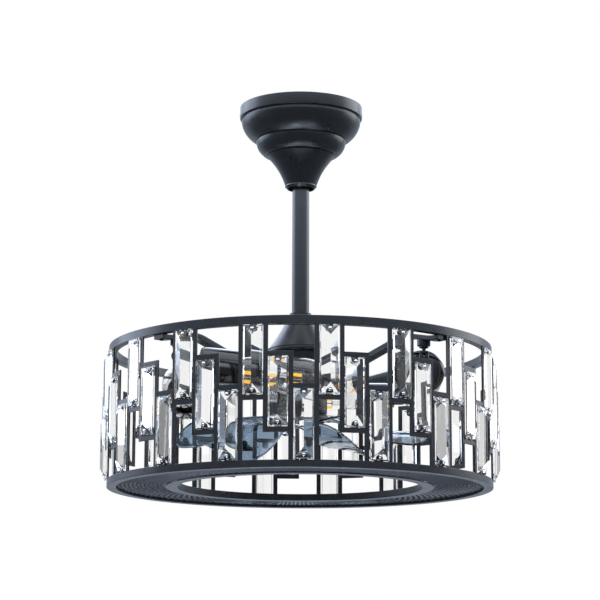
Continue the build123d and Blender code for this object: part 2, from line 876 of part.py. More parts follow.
def swivel():
    """Fork that turns in the arm's boss and holds the lamp's eye on a cross pin."""
    cheek_in = fork_slot / 2
    cheek_out = cheek_in + fork_cheek
    bridge_low = eye_radius + free_gap
    bridge_high = bridge_low + fork_bridge_height
    boss_low = knuckle_drop - boss_drop
    fork = block(-neck_post_radius, neck_post_radius, -cheek_out, cheek_out, bridge_low, bridge_high)
    for side in (-1, 1):
        middle = side * (cheek_in + fork_cheek / 2)
        disc = Pos(0, middle, 0) * Rot(quarter_turn, 0, 0) * Cylinder(fork_disc_radius, fork_cheek)
        fork += disc
    fork += rod_between(neck_post_radius, bridge_low, boss_low)
    fork += rod_between(swivel_post_radius, boss_low, boss_low + swivel_post_height)
    fork -= Rot(quarter_turn, 0, 0) * Cylinder(knuckle_pin_radius + running_gap, 2 * (cheek_out + overrun))
    return fork


def lamp_cup():
    """Deep round cup with a rounded closed end, and the bent link that carries it."""
    cheek_out = fork_slot / 2 + fork_cheek
    eye = Rot(quarter_turn, 0, 0) * Cylinder(eye_radius, eye_thickness)
    eye += Rot(quarter_turn, 0, 0) * Cylinder(knuckle_pin_radius, 2 * cheek_out)
    path = FilletPolyline((0, 0, 0), (link_reach, 0, -link_drop), (cup_start, 0, -link_drop), radius=link_bend)
    first = path.edges()[0]
    link = sweep(Plane(origin=path @ 0, z_dir=first % 0) * Circle(link_radius), path=path)
    end = cup_start + cup_length
    inside = cup_radius - cup_wall
    shell = turned_along_x([
        (cup_start - cup_boss_length, 0),
        (cup_start - cup_boss_length, cup_boss_radius),
        (cup_start, cup_boss_radius),
        (cup_start, cup_radius - cup_round),
        ((cup_start, cup_radius), (cup_start + cup_round, cup_radius)),
        (end, cup_radius),
        (end, inside),
        (cup_start + cup_round, inside),
        ((cup_start + cup_wall, inside), (cup_start + cup_wall, cup_radius - cup_round)),
        (cup_start + cup_wall, 0),
    ])
    return eye + link + Pos(0, 0, -link_drop) * shell


def on_lamp_axis(shape):
    """Moves a shape made along X from the knuckle down to the cup's own axis."""
    return Pos(0, 0, -link_drop) * shape


def lamp_holder():
    """Screw lampholder fixed inside the cup's closed end."""
    start = cup_start + cup_wall
    holder = bar_along_x(holder_radius, start, start + holder_length)
    holder -= bar_along_x(cap_radius + seat_gap, start + holder_floor, start + holder_length + overrun)
    return on_lamp_axis(holder)


def cap_start():
    """Where the bulb's screw cap starts, on the holder's floor."""
    return cup_start + cup_wall + holder_floor


def bulb_glass():
    """Long clear envelope, widest near its rounded tip, open at the neck."""
    neck = glass_neck_radius
    inside_neck = neck - glass_wall
    widest = glass_radius - glass_wall
    return on_lamp_axis(turned_along_x([
        (glass_start, inside_neck),
        (glass_start, neck),
        (glass_neck_end, neck),
        ((glass_swell, glass_radius), (glass_widest, glass_radius)),
        ((glass_tip, glass_radius), (glass_tip, 0)),
        (glass_tip - glass_wall, 0),
        ((glass_tip - glass_wall, widest), (glass_widest, widest)),
        ((glass_swell, widest), (glass_neck_end, inside_neck)),
    ]))


def bulb_core():
    """Screw cap, and the glass stem that carries four long filaments."""
    start = cap_start()
    cap = bar_along_x(cap_radius, start, start + cap_length)
    cap -= bar_along_x(cap_radius - cap_wall, start + cap_floor, start + cap_length + overrun)
    flare_end = glass_start + stem_flare_length
    stem_end = glass_start + stem_length
    far_end = stem_end + filament_length
    stem = bar_along_x(glass_neck_radius - glass_wall - glass_seat_gap, glass_start, flare_end)
    stem += bar_along_x(stem_radius, start + cap_floor, stem_end)
    stem += bar_along_x(lead_thickness, stem_end - overrun, far_end)
    lead = Box(lead_thickness, 2 * filament_circle, lead_thickness)
    for place in (stem_end - lead_thickness, far_end - lead_thickness):
        for turn in (1, 3):
            stem += Pos(place, 0, 0) * Rot(turn * quarter_turn / 2, 0, 0) * lead
    filament = bar_along_x(filament_radius, stem_end - lead_thickness, far_end - lead_thickness, 0, filament_circle)
    for step in range(filament_count):
        stem += Rot(quarter_turn / 2 + step * full_turn / filament_count, 0, 0) * filament
    return [on_lamp_axis(cap), on_lamp_axis(stem)]


# Rotor

def blade_hub():
    """Flange under the motor that carries the blades, with a boss round the shaft."""
    top = ring_top - hub_top_drop
    flange_low = top - hub_flange_thickness
    hub = rod_between(hub_flange_radius, flange_low, top)
    hub += rod_between(hub_boss_radius, ring_top - hub_boss_drop, flange_low)
    hub -= rod_between(shaft_radius, ring_top - hub_boss_drop - overrun, top + overrun)
    for hole in blade_screw_bars(blade_screw_radius + seat_gap, flange_low - overrun, top + overrun):
        hub -= hole
    return hub


def hub_cap():
    """Domed cap that closes the hub's boss from below."""
    high = ring_top - hub_boss_drop
    low = high - hub_cap_height
    return turned([
        (0, high),
        (hub_boss_radius, high),
        ((hub_boss_radius, low), (0, low)),
    ])


def blade_screw_bars(radius, low, high):
    """Bars where the blade screws go: two for each blade."""
    bars = []
    for side in (-1, 1):
        bar = Pos(blade_screw_place, side * blade_screw_spacing / 2, 0) * rod_between(radius, low, high)
        bars += around(bar, blade_count, blade_phase)
    return bars


def blade_screws():
    """Screws up through the blade roots into the hub's flange."""
    flange_low = ring_top - hub_top_drop - hub_flange_thickness
    root_low = flange_low - blade_root_thickness
    shanks = blade_screw_bars(blade_screw_radius, root_low, flange_low + hub_flange_thickness / 2)
    heads = blade_screw_bars(blade_screw_head_radius, root_low - blade_screw_head_height, root_low)
    return [shank + head for shank, head in zip(shanks, heads)]


def blade_section(radius, chord, pitch, height, camber):
    """Cross-section of a blade at one radius: a thin cambered strip."""
    turn = radians(pitch)
    half = chord / 2
    skin = blade_thickness / 2

    def point(along, lift):
        return (radius, along * cos(turn) + lift * sin(turn), height - along * sin(turn) + lift * cos(turn))

    edges = [
        ThreePointArc(point(-half, skin), point(0, camber + skin), point(half, skin)),
        Line(point(half, skin), point(half, -skin)),
        ThreePointArc(point(half, -skin), point(0, camber - skin), point(-half, -skin)),
        Line(point(-half, -skin), point(-half, skin)),
    ]
    return Face(Wire(edges))


def blade():
    """Twisted blade that drops from a flat root to its full pitch."""
    root_top = ring_top - hub_top_drop - hub_flange_thickness
    root_middle = root_top - blade_root_thickness / 2
    tip_height = ring_top - blade_mid_drop
    reach_shares = (0.0, 0.26, 0.55, 0.84, 1.06)
    chord_shares = (0.0, 0.64, 0.96, 1.0, 0.88)
    pitch_shares = (0.0, 0.55, 0.88, 1.0, 1.0)
    drop_shares = (0.0, 0.34, 0.76, 0.98, 1.03)
    start = blade_root_end - blade_thickness
    sections = []
    for reach, chord, pitch, drop in zip(reach_shares, chord_shares, pitch_shares, drop_shares):
        sections.append(blade_section(
            start + reach * (blade_sweep - start),
            blade_root_width + chord * (blade_chord - blade_root_width),
            pitch * blade_pitch,
            root_middle + drop * (tip_height - root_middle),
            blade_camber * (chord_shares[1] + chord) / 2))
    shape = loft(sections)
    shape = shape & rod_between(blade_sweep, ring_top - cage_height, ring_top)
    root = block(blade_root_start, blade_root_end, -blade_root_width / 2, blade_root_width / 2,
                 root_top - blade_root_thickness, root_top)
    shape = shape + root
    for side in (-1, 1):
        shape -= Pos(blade_screw_place, side * blade_screw_spacing / 2, 0) * rod_between(
            blade_screw_radius + seat_gap, root_top - blade_root_thickness - overrun, root_top + overrun)
    return shape


# Write every node

save("mounting_bracket", bracket())
canopy_rim, canopy_cone = canopy_parts()
save("canopy", canopy_rim)
save("canopy_cone", canopy_cone)
save("canopy_screws", canopy_screws())
save("receiver_box", receiver())
save("socket_liner", socket_liner())
save("hanger_ball", hanger_ball())
save("downrod", downrod())
save("rod_pins", rod_pins())
save("rod_coupling", rod_coupling())
save("motor_bell", motor_bell())
save("motor_housing", motor_housing())
save("motor_base_cap", motor_base_cap())
save("motor_bearings", bearings())
save("stator_core", stator_core())
save("stator_windings", stator_windings())
save("motor_shaft", motor_shaft())
save("rotor_core", rotor_core())
save("rotor_magnets", rotor_magnets())
save("arm_collar", arm_collar())
save("arms", around(arm(), arm_count, quarter_turn / 2))
save("arm_screws", arm_screws())
save("top_ring", top_ring())
save("bottom_ring", bottom_ring())
save("cage_bars", cage_bars())
save("cage_crossbars", cage_crossbars())
for row_number, row_name in enumerate(("top", "middle", "low")):
    save(f"crystals_{row_name}", crystal_row(row_number))
save("crystal_pins", crystal_pins())
save("bottom_net", bottom_net())
save("inner_rim", inner_rim())
save("blade_hub", blade_hub())
save("hub_cap", hub_cap())
save("blade_screws", blade_screws())
for number, shape in enumerate(around(blade(), blade_count, blade_phase), start=1):
    save(f"blade_{number}", shape)

fork_shape = swivel()
lamp_pieces = {
    "lamp_cup": [lamp_cup()],
    "lamp_holder": [lamp_holder()],
    "bulb_glass": [bulb_glass()],
    "bulb_core": bulb_core(),
}
for number, tilt in enumerate(lamp_tilts, start=1):
    turn = Rot(0, 0, (number - 1) * quarter_turn)
    save(f"swivel_{number}", turn * lamp_centre() * fork_shape)
    for name, shapes in lamp_pieces.items():
        save(f"{name}_{number}", [turn * lamp_centre() * Rot(0, tilt, 0) * shape for shape in shapes])
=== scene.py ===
import bmesh
import bpy
from math import asin, cos, degrees, pi, radians, sin, sqrt, tan
from mathutils import Matrix, Vector


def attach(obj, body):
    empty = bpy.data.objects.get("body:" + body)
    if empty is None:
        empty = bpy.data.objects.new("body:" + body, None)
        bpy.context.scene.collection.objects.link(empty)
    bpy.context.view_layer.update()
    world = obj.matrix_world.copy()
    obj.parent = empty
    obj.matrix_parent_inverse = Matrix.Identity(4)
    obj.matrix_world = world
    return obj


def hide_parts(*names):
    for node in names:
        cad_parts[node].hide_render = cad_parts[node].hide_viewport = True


# Drum fan light with cut crystals. Lengths are in millimetres unless a line says otherwise.
mm = 0.001
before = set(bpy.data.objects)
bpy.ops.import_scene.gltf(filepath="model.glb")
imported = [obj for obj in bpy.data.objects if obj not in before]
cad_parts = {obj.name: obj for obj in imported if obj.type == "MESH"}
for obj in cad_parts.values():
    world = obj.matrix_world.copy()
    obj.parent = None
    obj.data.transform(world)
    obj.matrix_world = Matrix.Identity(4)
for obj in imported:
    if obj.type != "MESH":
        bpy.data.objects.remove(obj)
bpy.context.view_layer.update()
ringTop = -334.0  # upper face of the cage's top ring
print("frame loaded,", len(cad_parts), "nodes")


class Look(dict):
    # the settings of one piece, read as look.name
    __getattr__ = dict.__getitem__


# colours and shader nodes

def toLinear(hexColour):
    channels = [int(hexColour[k:k + 2], 16) / 255 for k in (1, 3, 5)]
    return (*[c / 12.92 if c < 0.04045 else ((c + 0.055) / 1.055) ** 2.4 for c in channels], 1.0)


def addNode(tree, kind, settings):
    # each setting is a property, an input's value, or the node or output that goes into an input
    node = tree.nodes.new("ShaderNode" + kind)
    for name, value in settings.items():
        if isinstance(value, bpy.types.Node):
            value = value.outputs[0]
        if isinstance(value, bpy.types.NodeSocket):
            tree.links.new(value, node.inputs[name])
        elif isinstance(name, str) and hasattr(node, name):
            setattr(node, name, value)
        else:
            node.inputs[name].default_value = value
    return node


def addNoise(tree, size, detail):
    # soft clouds of about this many millimetres that stay on the piece
    place = addNode(tree, "TexCoord", {})
    return addNode(tree, "TexNoise", {"Scale": 1 / (size * mm), "Detail": detail, "Vector": place.outputs["Object"]})


def addTint(tree, first, second, share):
    # a Mix node's inputs by number: 0 share, 2 and 3 brightness, 6 and 7 colours
    tint = addNode(tree, "Mix", {"data_type": "RGBA", 0: share, 6: toLinear(first), 7: toLinear(second)})
    return tint.outputs[2]


def addBlend(tree, share, first, second):
    # one brightness that gives way to another
    return addNode(tree, "Mix", {"data_type": "FLOAT", 0: share, 2: first, 3: second})


def addRange(tree, value, start, full, low, high, shape="LINEAR"):
    return addNode(tree, "MapRange", {"interpolation_type": shape, "Value": value, "From Min": start, "From Max": full,
                                      "To Min": low, "To Max": high})


def addBump(tree, height, strength, depth):
    return addNode(tree, "Bump", {"Height": height, "Strength": strength, "Distance": depth * mm})


def mixShaders(tree, share, first, second):
    return addNode(tree, "MixShader", {0: share, 1: first, 2: second})


def mirroredRays(tree, path):
    # rays that a gloss has thrown back, without those that have been through glass
    return addNode(tree, "Math", {"operation": "SUBTRACT", "use_clamp": True, 0: path.outputs["Is Glossy Ray"],
                                  1: path.outputs["Is Transmission Ray"]})


def startMaterial(name):
    material = bpy.data.materials.new(name)
    material.use_nodes = True
    material.node_tree.nodes.clear()
    return material, material.node_tree


def finishMaterial(material, tree, shader):
    addNode(tree, "OutputMaterial", {"Surface": shader})
    return material


# shapes in mesh code: a part is a list of points in millimetres and a list of faces

def bezier(start, turn, end, steps):
    points = []
    for k in range(1, steps + 1):
        t = k / steps
        points.append(tuple((1 - t) ** 2 * a + 2 * t * (1 - t) * b + t ** 2 * c
                            for a, b, c in zip(start, turn, end)))
    return points


def roundOff(outline, steps=4):
    # an entry (x, y, radius) gets a rounded corner, (x, y) stays sharp
    mostOfSide = 0.45
    points = []
    for k, entry in enumerate(outline):
        here = Vector(entry[:2])
        if len(entry) < 3:
            points.append(tuple(here))
            continue
        before = Vector(outline[k - 1][:2]) - here
        after = Vector(outline[(k + 1) % len(outline)][:2]) - here
        cut = min(entry[2], before.length * mostOfSide, after.length * mostOfSide)
        start, end = here + before.normalized() * cut, here + after.normalized() * cut
        points += [tuple(start)] + bezier(start, here, end, steps)
    return points


def traced(entries, steps=4):
    # like roundOff, and an entry (turn, end, steps) is a curve that runs on from the point before it
    points = []
    for entry in entries:
        if isinstance(entry[0], tuple):
            points += bezier(points[-1], *entry)
        else:
            points.append(entry)
    return roundOff(points, steps)


def lathe(outline, steps):
    # closed outline of (radius, height) turned about Z; a radius may be a function of angle and height
    points, faces = [], []
    count = len(outline)
    for k in range(steps):
        angle = 2 * pi * k / steps
        for radius, height in outline:
            out = radius(angle, height) if callable(radius) else radius
            points.append(Vector((out * cos(angle), out * sin(angle), height)))
    for k in range(steps):
        near, far = k * count, (k + 1) % steps * count
        for j in range(count):
            after = (j + 1) % count
            onAxis = [not callable(outline[i][0]) and outline[i][0] < 1e-6 for i in (j, after)]
            if onAxis == [True, True]:
                continue
            corners = [near + j, near + after, far + after, far + j]
            if onAxis[0]:
                corners.pop(3)
            elif onAxis[1]:
                corners.pop(2)
            faces.append(corners)
    return points, faces


def turned(look, steps=4):
    return lathe(traced(look.profile, steps), look.steps)


def wrap(points, count):
    # faces over rings of "count" points each, closed at the first ring
    faces = [list(range(count))[::-1]]
    for start in range(0, len(points) - count, count):
        faces += [[start + k, start + (k + 1) % count, start + count + (k + 1) % count, start + count + k]
                  for k in range(count)]
    return faces


def plate(outline, low, high, edge, steps=3):
    # closed 2-D outline made solid between two heights, with rounded edges
    sharpestTurn = 0.3
    here = [Vector(p[:2]) for p in outline]
    count = len(here)
    turnSum = sum(here[k - 1].x * here[k].y - here[k].x * here[k - 1].y for k in range(count))
    side = 1 if turnSum > 0 else -1
    inward = []
    for k in range(count):
        before = (here[k] - here[k - 1]).normalized()
        after = (here[(k + 1) % count] - here[k]).normalized()
        first = Vector((-before.y, before.x)) * side
        both = first + Vector((-after.y, after.x)) * side
        inward.append(both / max(both.dot(first), sharpestTurn))
    edge = min(edge, (high - low) / 2)
    turns = [pi / 2 * k / steps for k in range(steps + 1)]
    quarter = [(edge * (1 - sin(turn)), edge * (1 - cos(turn))) for turn in turns]
    layers = [(inset, low + up) for inset, up in quarter] + [(inset, high - up) for inset, up in reversed(quarter)]
    points = [Vector((*(here[k] + inward[k] * inset), height)) for inset, height in layers for k in range(count)]
    return points, wrap(points, count) + [list(range(len(points) - count, len(points)))]


def tube(path, radius, steps=20):
    # round bar along points that lie in one plane of constant Y
    points = []
    across = Vector((0, 1, 0))
    for k, here in enumerate(path):
        ahead = (path[min(k + 1, len(path) - 1)] - path[max(k - 1, 0)]).normalized()
        up = ahead.cross(across)
        for j in range(steps):
            angle = 2 * pi * j / steps
            points.append(here + (across * cos(angle) + up * sin(angle)) * radius)
    return points, wrap(points, steps) + [list(range(len(points) - steps, len(points)))]


def moved(part, *matrices):
    points, faces = part
    whole = Matrix.Identity(4)
    for matrix in matrices:
        whole = whole @ matrix
    return [whole @ Vector(p) for p in points], faces


def join(parts):
    points, faces = [], []
    for partPoints, partFaces in parts:
        start = len(points)
        points += [Vector(p) for p in partPoints]
        faces += [[start + k for k in face] for face in partFaces]
    return points, faces


def turner(axis):
    return lambda angle: Matrix.Rotation(radians(angle), 4, axis)


turnX, turnY, turnZ = (turner(axis) for axis in "XYZ")


def shift(x=0.0, y=0.0, z=0.0):
    return Matrix.Translation((x, y, z))


def around(part, count, start=0.0):
    return join([moved(part, turnZ(start + 360 * k / count)) for k in range(count)])


def belowRing(part):
    return moved(part, shift(z=ringTop))


def fromFront(angle):
    # turns a part made on the +X side to an angle counted from the front (-Y) towards +X
    return turnZ(angle - 90)


onSide = Matrix(((0, 0, 1, 0), (1, 0, 0, 0), (0, 1, 0, 0), (0, 0, 0, 1)))  # a flat part then faces out, along +X
upright = turnX(90)  # a flat part's (x, y) becomes (x, z)
alongX = turnY(90)  # a part made on Z then lies on X


def meshFrom(name, part):
    points, faces = part
    mesh = bpy.data.meshes.new(name)
    mesh.from_pydata([Vector(p) * mm for p in points], [], faces)
    build = bmesh.new()
    build.from_mesh(mesh)
    bmesh.ops.remove_doubles(build, verts=build.verts, dist=0.001 * mm)
    bmesh.ops.recalc_face_normals(build, faces=build.faces)
    build.to_mesh(mesh)
    build.free()
    mesh.validate()
    return mesh


def addObject(name, data):
    thing = bpy.data.objects.new(name, data)
    bpy.context.scene.collection.objects.link(thing)
    return thing


def addModifier(thing, kind, **settings):
    modifier = thing.modifiers.new(kind.lower(), kind)
    for name, value in settings.items():
        setattr(modifier, name, value)


def addPiece(name, part, material, replaced, slotName, body="hanging_frame", smooth=40, flatFirst=False):
    mesh = part if isinstance(part, bpy.types.Mesh) else meshFrom(name, part)
    if smooth:
        for polygon in mesh.polygons:
            polygon.use_smooth = True
        mesh.set_sharp_from_angle(angle=radians(smooth))
    piece = addObject(name, mesh)
    mesh.materials.clear()
    mesh.materials.append(material)
    if flatFirst:  # large flat faces keep their own direction next to small rounded edges
        addModifier(piece, "WEIGHTED_NORMAL", keep_sharp=True)
    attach(piece, body)
    if replaced:
        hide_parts(*replaced)
    return piece


def blackPiece(name, part, node, body="hanging_frame", **settings):
    # most of the fan: black painted steel, one piece for one node
    addPiece(name, part, powderBlack, [node], "black_metal", body, **settings)


def softCopy(node, material, slotName, width, segments=2, body="hanging_frame"):
    # the node's own shape with its flat faces joined up and a small radius on every hard edge
    hardTurn = 30
    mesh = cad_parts[node].data.copy()
    build = bmesh.new()
    build.from_mesh(mesh)
    bmesh.ops.remove_doubles(build, verts=build.verts, dist=0.002 * mm)
    bmesh.ops.dissolve_limit(build, angle_limit=radians(1.0), verts=build.verts, edges=build.edges)
    build.to_mesh(mesh)
    build.free()
    piece = addPiece(node + "Soft", mesh, material, [node], slotName, body, smooth=hardTurn)
    addModifier(piece, "BEVEL", width=width * mm, segments=segments, limit_method="ANGLE",
                angle_limit=radians(hardTurn), harden_normals=True)


# a screw's button head in shares of its radius and height, with a hexagon socket
buttonHead = Look(dome=((1, 0), (1, 0.35), (0.93, 0.62), (0.78, 0.86), (0.6, 1)), socket=0.42, floor=0.4, steps=24)


def screw(look):
    # head above z = 0, shank below
    def socket(angle, _):
        return look.head * buttonHead.socket / cos((angle + pi / 6) % (pi / 3) - pi / 6)

    outline = [(0, -look.length), (look.shank, -look.length), (look.shank, 0)]
    outline += [(look.head * out, look.height * up) for out, up in buttonHead.dome]
    floor = look.height * buttonHead.floor
    return lathe(outline + [(socket, look.height), (socket, floor), (0, floor)], buttonHead.steps)


print("helpers ready")


# materials

def powderCoat(name, look):
    # paint on steel: even highlights over a very fine orange peel
    roughLess, roughMore = 0.03, 0.05
    cloudLow, cloudHigh = 0.3, 0.7  # nearly all of a cloud's values
    material, tree = startMaterial(name)
    cloud = addNoise(tree, look.mottle, detail=3.0)
    return finishMaterial(material, tree, addNode(tree, "BsdfPrincipled", {
        "Base Color": addTint(tree, look.dark, look.light, cloud), "Metallic": 0.0, "IOR": 1.5,
        "Roughness": addRange(tree, cloud, cloudLow, cloudHigh, look.rough - roughLess, look.rough + roughMore),
        "Normal": addBump(tree, addNoise(tree, look.peel, detail=2.0), look.bump, depth=0.05),
        "Coat Weight": look.coat, "Coat Roughness": look.coatRough}))


def clearGlass(name, look):
    # clear glass or acrylic: bends what is behind it, lets the lamps' light through, and is faintly uneven
    material, tree = startMaterial(name)
    glass = addNode(tree, "BsdfPrincipled", {
        "Base Color": toLinear(look.colour), "Roughness": 0.0, "IOR": look.ior, "Transmission Weight": 1.0,
        "Normal": addBump(tree, addNoise(tree, look.waves, detail=1.0), look.bump, depth=0.05)})
    passed = addNode(tree, "BsdfTransparent", {"Color": toLinear(look.shadow)})
    path = addNode(tree, "LightPath", {})
    return finishMaterial(material, tree, mixShaders(tree, path.outputs["Is Shadow Ray"], glass, passed))


def plainSurface(name, dark, light, mottle, rough, metal):
    # moulded, cast or machined parts: a faint mottle in colour and in shine, and a fine grain
    roughEither = 0.06
    material, tree = startMaterial(name)
    cloud = addNoise(tree, mottle, detail=4.0)
    return finishMaterial(material, tree, addNode(tree, "BsdfPrincipled", {
        "Base Color": addTint(tree, dark, light, cloud), "Metallic": metal,
        "Roughness": addRange(tree, cloud, 0.0, 1.0, rough - roughEither, rough + roughEither),
        "Normal": addBump(tree, cloud, strength=0.1, depth=0.03)}))


def phosphor(name, look):
    # silicone over a row of small light chips: a matt yellow skin with faintly paler spots, and a painted glow in the
    # same colour from its emission, though no lamp is lit in the bulb
    material, tree = startMaterial(name)
    tint = addTint(tree, look.dark, look.light, addNoise(tree, look.chips, detail=1.0))
    return finishMaterial(material, tree, addNode(tree, "BsdfPrincipled", {
        "Base Color": tint, "Roughness": look.rough, "Emission Color": tint, "Emission Strength": look.glow}))


# satin blue-black of the whole frame: broad soft bands of light, no sharp reflections
powderBlack = powderCoat("powderCoatedSteelBlack", Look(
    dark="#171b21", light="#1e2229", mottle=14.0, peel=0.9, rough=0.29, bump=0.14, coat=0.0, coatRough=0.2))
# sprayed and polished, so it mirrors the softboxes in sharp bands
lacquerBlack = powderCoat("lacquerBlack", Look(
    dark="#0b0a0b", light="#12100f", mottle=22.0, peel=2.5, rough=0.16, bump=0.04, coat=0.7, coatRough=0.05))
# slit and stretched sheet under thin paint: the strands catch small glints
netBlack = powderCoat("expandedSteelBlack", Look(
    dark="#25272d", light="#4a4f57", mottle=5.0, peel=1.2, rough=0.34, bump=0.1, coat=0.3, coatRough=0.12))
# heavy clear glass: strong bending, so every facet shows another piece of the room
cutCrystal = clearGlass("cutLeadCrystal", Look(colour="#ffffff", shadow="#e4e8ec", ior=1.56, waves=9.0, bump=0.02))
# thin and nearly unseen but for its rim and a few long highlights
bulbGlass = clearGlass("blownBulbGlass", Look(colour="#ffffff", shadow="#f2f4f6", ior=1.5, waves=30.0, bump=0.05))
# blue-grey see-through sheet that darkens where two blades overlap
smokeAcrylic = clearGlass("smokedAcrylic", Look(colour="#8095aa", shadow="#93a1b0", ior=1.49, waves=40.0, bump=0.05))
# silicone with a painted glow, so that it looks lit from inside
filamentYellow = phosphor("phosphorSilicone", Look(dark="#f0ac00", light="#ffc808", chips=1.6, rough=0.45, glow=0.9))

# dark and light tone, size of the mottle, roughness, metal
surfaces = {name: plainSurface(name, *values) for name, values in {
    "chromePlatedSteel": ("#c9ccd1", "#e6e8ea", 2.0, 0.14, 1.0),  # small bright points on the crystals
    "zincPlatedSteel": ("#9a9da3", "#b9bcc0", 6.0, 0.32, 1.0),  # dull silver
    "blackOxideSteel": ("#1a1b1e", "#2a2b2f", 1.5, 0.3, 1.0),  # dark screws with a metal glint
    "mouldedNylon": ("#d9d6cc", "#e6e3da", 5.0, 0.5, 0.0),  # warm milky white
    "mouldedAbsBlack": ("#141517", "#1c1d20", 4.0, 0.45, 0.0),  # half-matt black plastic
    "mouldedAbsWhite": ("#d6d6d4", "#e2e2e0", 8.0, 0.4, 0.0),  # half-matt white plastic
    "siliconSteelSheet": ("#5b5e63", "#7b7e84", 0.8, 0.4, 1.0),  # fine streaky grey of stacked sheets
    "enamelledCopper": ("#8a4a22", "#c0703a", 0.7, 0.3, 1.0),  # warm windings
    "sinteredFerrite": ("#2b2c2e", "#3a3b3d", 1.0, 0.6, 0.0),  # matt charcoal magnets
    "glazedPorcelain": ("#dcd9d2", "#e9e7e1", 6.0, 0.2, 0.0),  # shiny off-white inside the cups
    "nickelPlatedBrass": ("#a9a292", "#cbc5b4", 3.0, 0.22, 1.0),  # warm silver screw base
    "nickelWire": ("#8f9092", "#b4b5b7", 1.0, 0.25, 1.0)}.items()}  # thin bright leads

# nodes that show as they are packed, and the finish of each
keptNodes = {"zincPlatedSteel": ["rod_pins", "motor_shaft", "motor_bearings"], "mouldedNylon": ["socket_liner"],
             "mouldedAbsBlack": ["hanger_ball"], "siliconSteelSheet": ["stator_core", "rotor_core"],
             "enamelledCopper": ["stator_windings"], "sinteredFerrite": ["rotor_magnets"]}
for finish, names in keptNodes.items():
    for name in names:
        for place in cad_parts[name].material_slots:
            place.material = surfaces[finish]
print("materials set")


# canopy, rod and bell; a profile holds (radius, height), with a corner's radius or a curve where it has one

canopyLook = Look(
    wall=1.5, radius=83.0, steps=192, seat=61.1, seatHeights=(-46.0, -43.7),
    rim=[(83, 0), (83, -15.4, 1), (79.4, -15.9, 0.3), (79.4, -18.8, 0.3), (80.9, -19.3, 0.8), (80.5, -21.8),
         ((77.5, -37), (62.49, -46), 22)],
    cone=[(60, -43.7), (60, -46.6), (60.79, -47), ((60, -59.5), (49, -66), 18), (44.7, -66),
          (44.7, -67), (45.5, -67.3), ((28, -86), (21.5, -107.4), 20)],
    lip=[(20.6, -107.6), (20.6, -108.6), (21.3, -108.9), (21.4, -109.8), (18.2, -113), (17.4, -112.3),
         (17.4, -111)])


def insideOf(outline, wall):
    return [(radius - wall, height + wall) for radius, height in outline[::-1]]


def canopyRim(look):
    # straight rim, a shadow groove and the first bulge, down to the first step
    outer = traced(look.rim)
    inner = [(radius, height) for radius, height in insideOf(outer[1:], look.wall) if radius > look.seat]
    seat = [(look.seat, height) for height in look.seatHeights]
    return lathe(outer + seat + inner + [(look.radius - look.wall, 0)], look.steps)


def canopyCone(look):
    # second bulge, cone and neck; its spigot stands back so that the joint reads as a dark line
    outer = traced(look.cone)
    return lathe(outer + look.lip + insideOf(outer[:-2], look.wall), look.steps)


blackPiece("canopyRim", canopyRim(canopyLook), "canopy", "ceiling_mount", smooth=32)
blackPiece("canopyCone", canopyCone(canopyLook), "canopy_cone", "ceiling_mount", smooth=32)

canopyScrewLook = Look(head=3.8, height=1.5, shank=1.9, length=10.5, out=81.8, low=-9.0)
canopyScrew = moved(screw(canopyScrewLook), shift(x=canopyScrewLook.out, z=canopyScrewLook.low), alongX)
addPiece("canopyScrewPair", around(canopyScrew, 2), surfaces["blackOxideSteel"], ["canopy_screws"], "dark_screws",
         "ceiling_mount")
softCopy("mounting_bracket", surfaces["zincPlatedSteel"], "zinc_steel", 0.35, body="ceiling_mount")
softCopy("receiver_box", surfaces["mouldedAbsWhite"], "receiver_plastic", 1.4, 3, "ceiling_mount")

rodLook = Look(steps=96, profile=[(11.5, -34, 0.5), (9.9, -34, 0.3), (9.9, -328), (11.5, -328)])
blackPiece("downrodTube", turned(rodLook), "downrod")

# a short collar round the rod, then the flare; from the ring's top upwards
bellLook = Look(steps=160, profile=[
    (11.6, 49.6), (12.1, 50), (13.8, 50), (14.4, 49.5), (14.4, 47.3), (15.5, 47), (16, 46.5),
    ((25, 24), (43.3, 0.6), 28), (43.1, 0.1), (42.6, 0), (41.7, 0), ((23.4, 22.4), (14.4, 45.4), 20),
    (11.6, 45.4)])
blackPiece("bellCover", belowRing(turned(bellLook)), "motor_bell")
softCopy("rod_coupling", surfaces["zincPlatedSteel"], "zinc_steel", 0.4)
print("canopy, rod and bell made")


# motor, collar and arms; heights count from the ring's top

motorLook = Look(steps=128, profile=[
    (0, 0), (42.6, 0, 0.6), (42.6, -5.2, 1.4), (35.6, -5.2, 0.8), (35.6, -79.8), (35.3, -80), (33.4, -80),
    (33.4, -7.4), (15, -7.4), (15, -13.7), (11.05, -13.7), (11.05, -6.7), (0, -6.7)])
blackPiece("motorCan", belowRing(turned(motorLook)), "motor_housing")

endCapLook = Look(steps=128, profile=[
    (9.5, -87.5), (35.6, -87.5, 5.5), (35.6, -80.3, 0.3), (35.1, -80), (33.3, -80), (33.3, -72), (28.5, -72),
    (28.5, -80), (11.05, -80), (11.05, -85.5), (9.5, -85.5)])
blackPiece("motorEndCap", belowRing(turned(endCapLook, 6)), "motor_base_cap")

collarLook = Look(radius=46.0, flat=42.5, bore=35.7, top=-41.0, low=-59.0, steps=192,
                  edge=((0.8, 0.0), (0.24, 0.24), (0.0, 0.8)))


def collarReach(inset):
    # round outside with a flat in front of each arm
    def reach(angle, _):
        fromFlat = angle % (pi / 2) - pi / 4
        return min(collarLook.radius, collarLook.flat / cos(fromFlat)) - inset
    return reach


def collarPart(look):
    outline = [(look.bore, look.low)] + [(collarReach(inset), look.low + up) for inset, up in look.edge]
    outline += [(collarReach(inset), look.top - down) for inset, down in reversed(look.edge)]
    return moved(lathe(outline + [(look.bore, look.top)], look.steps), turnZ(45), shift(z=ringTop))


blackPiece("armCollarRing", collarPart(collarLook), "arm_collar", flatFirst=True)

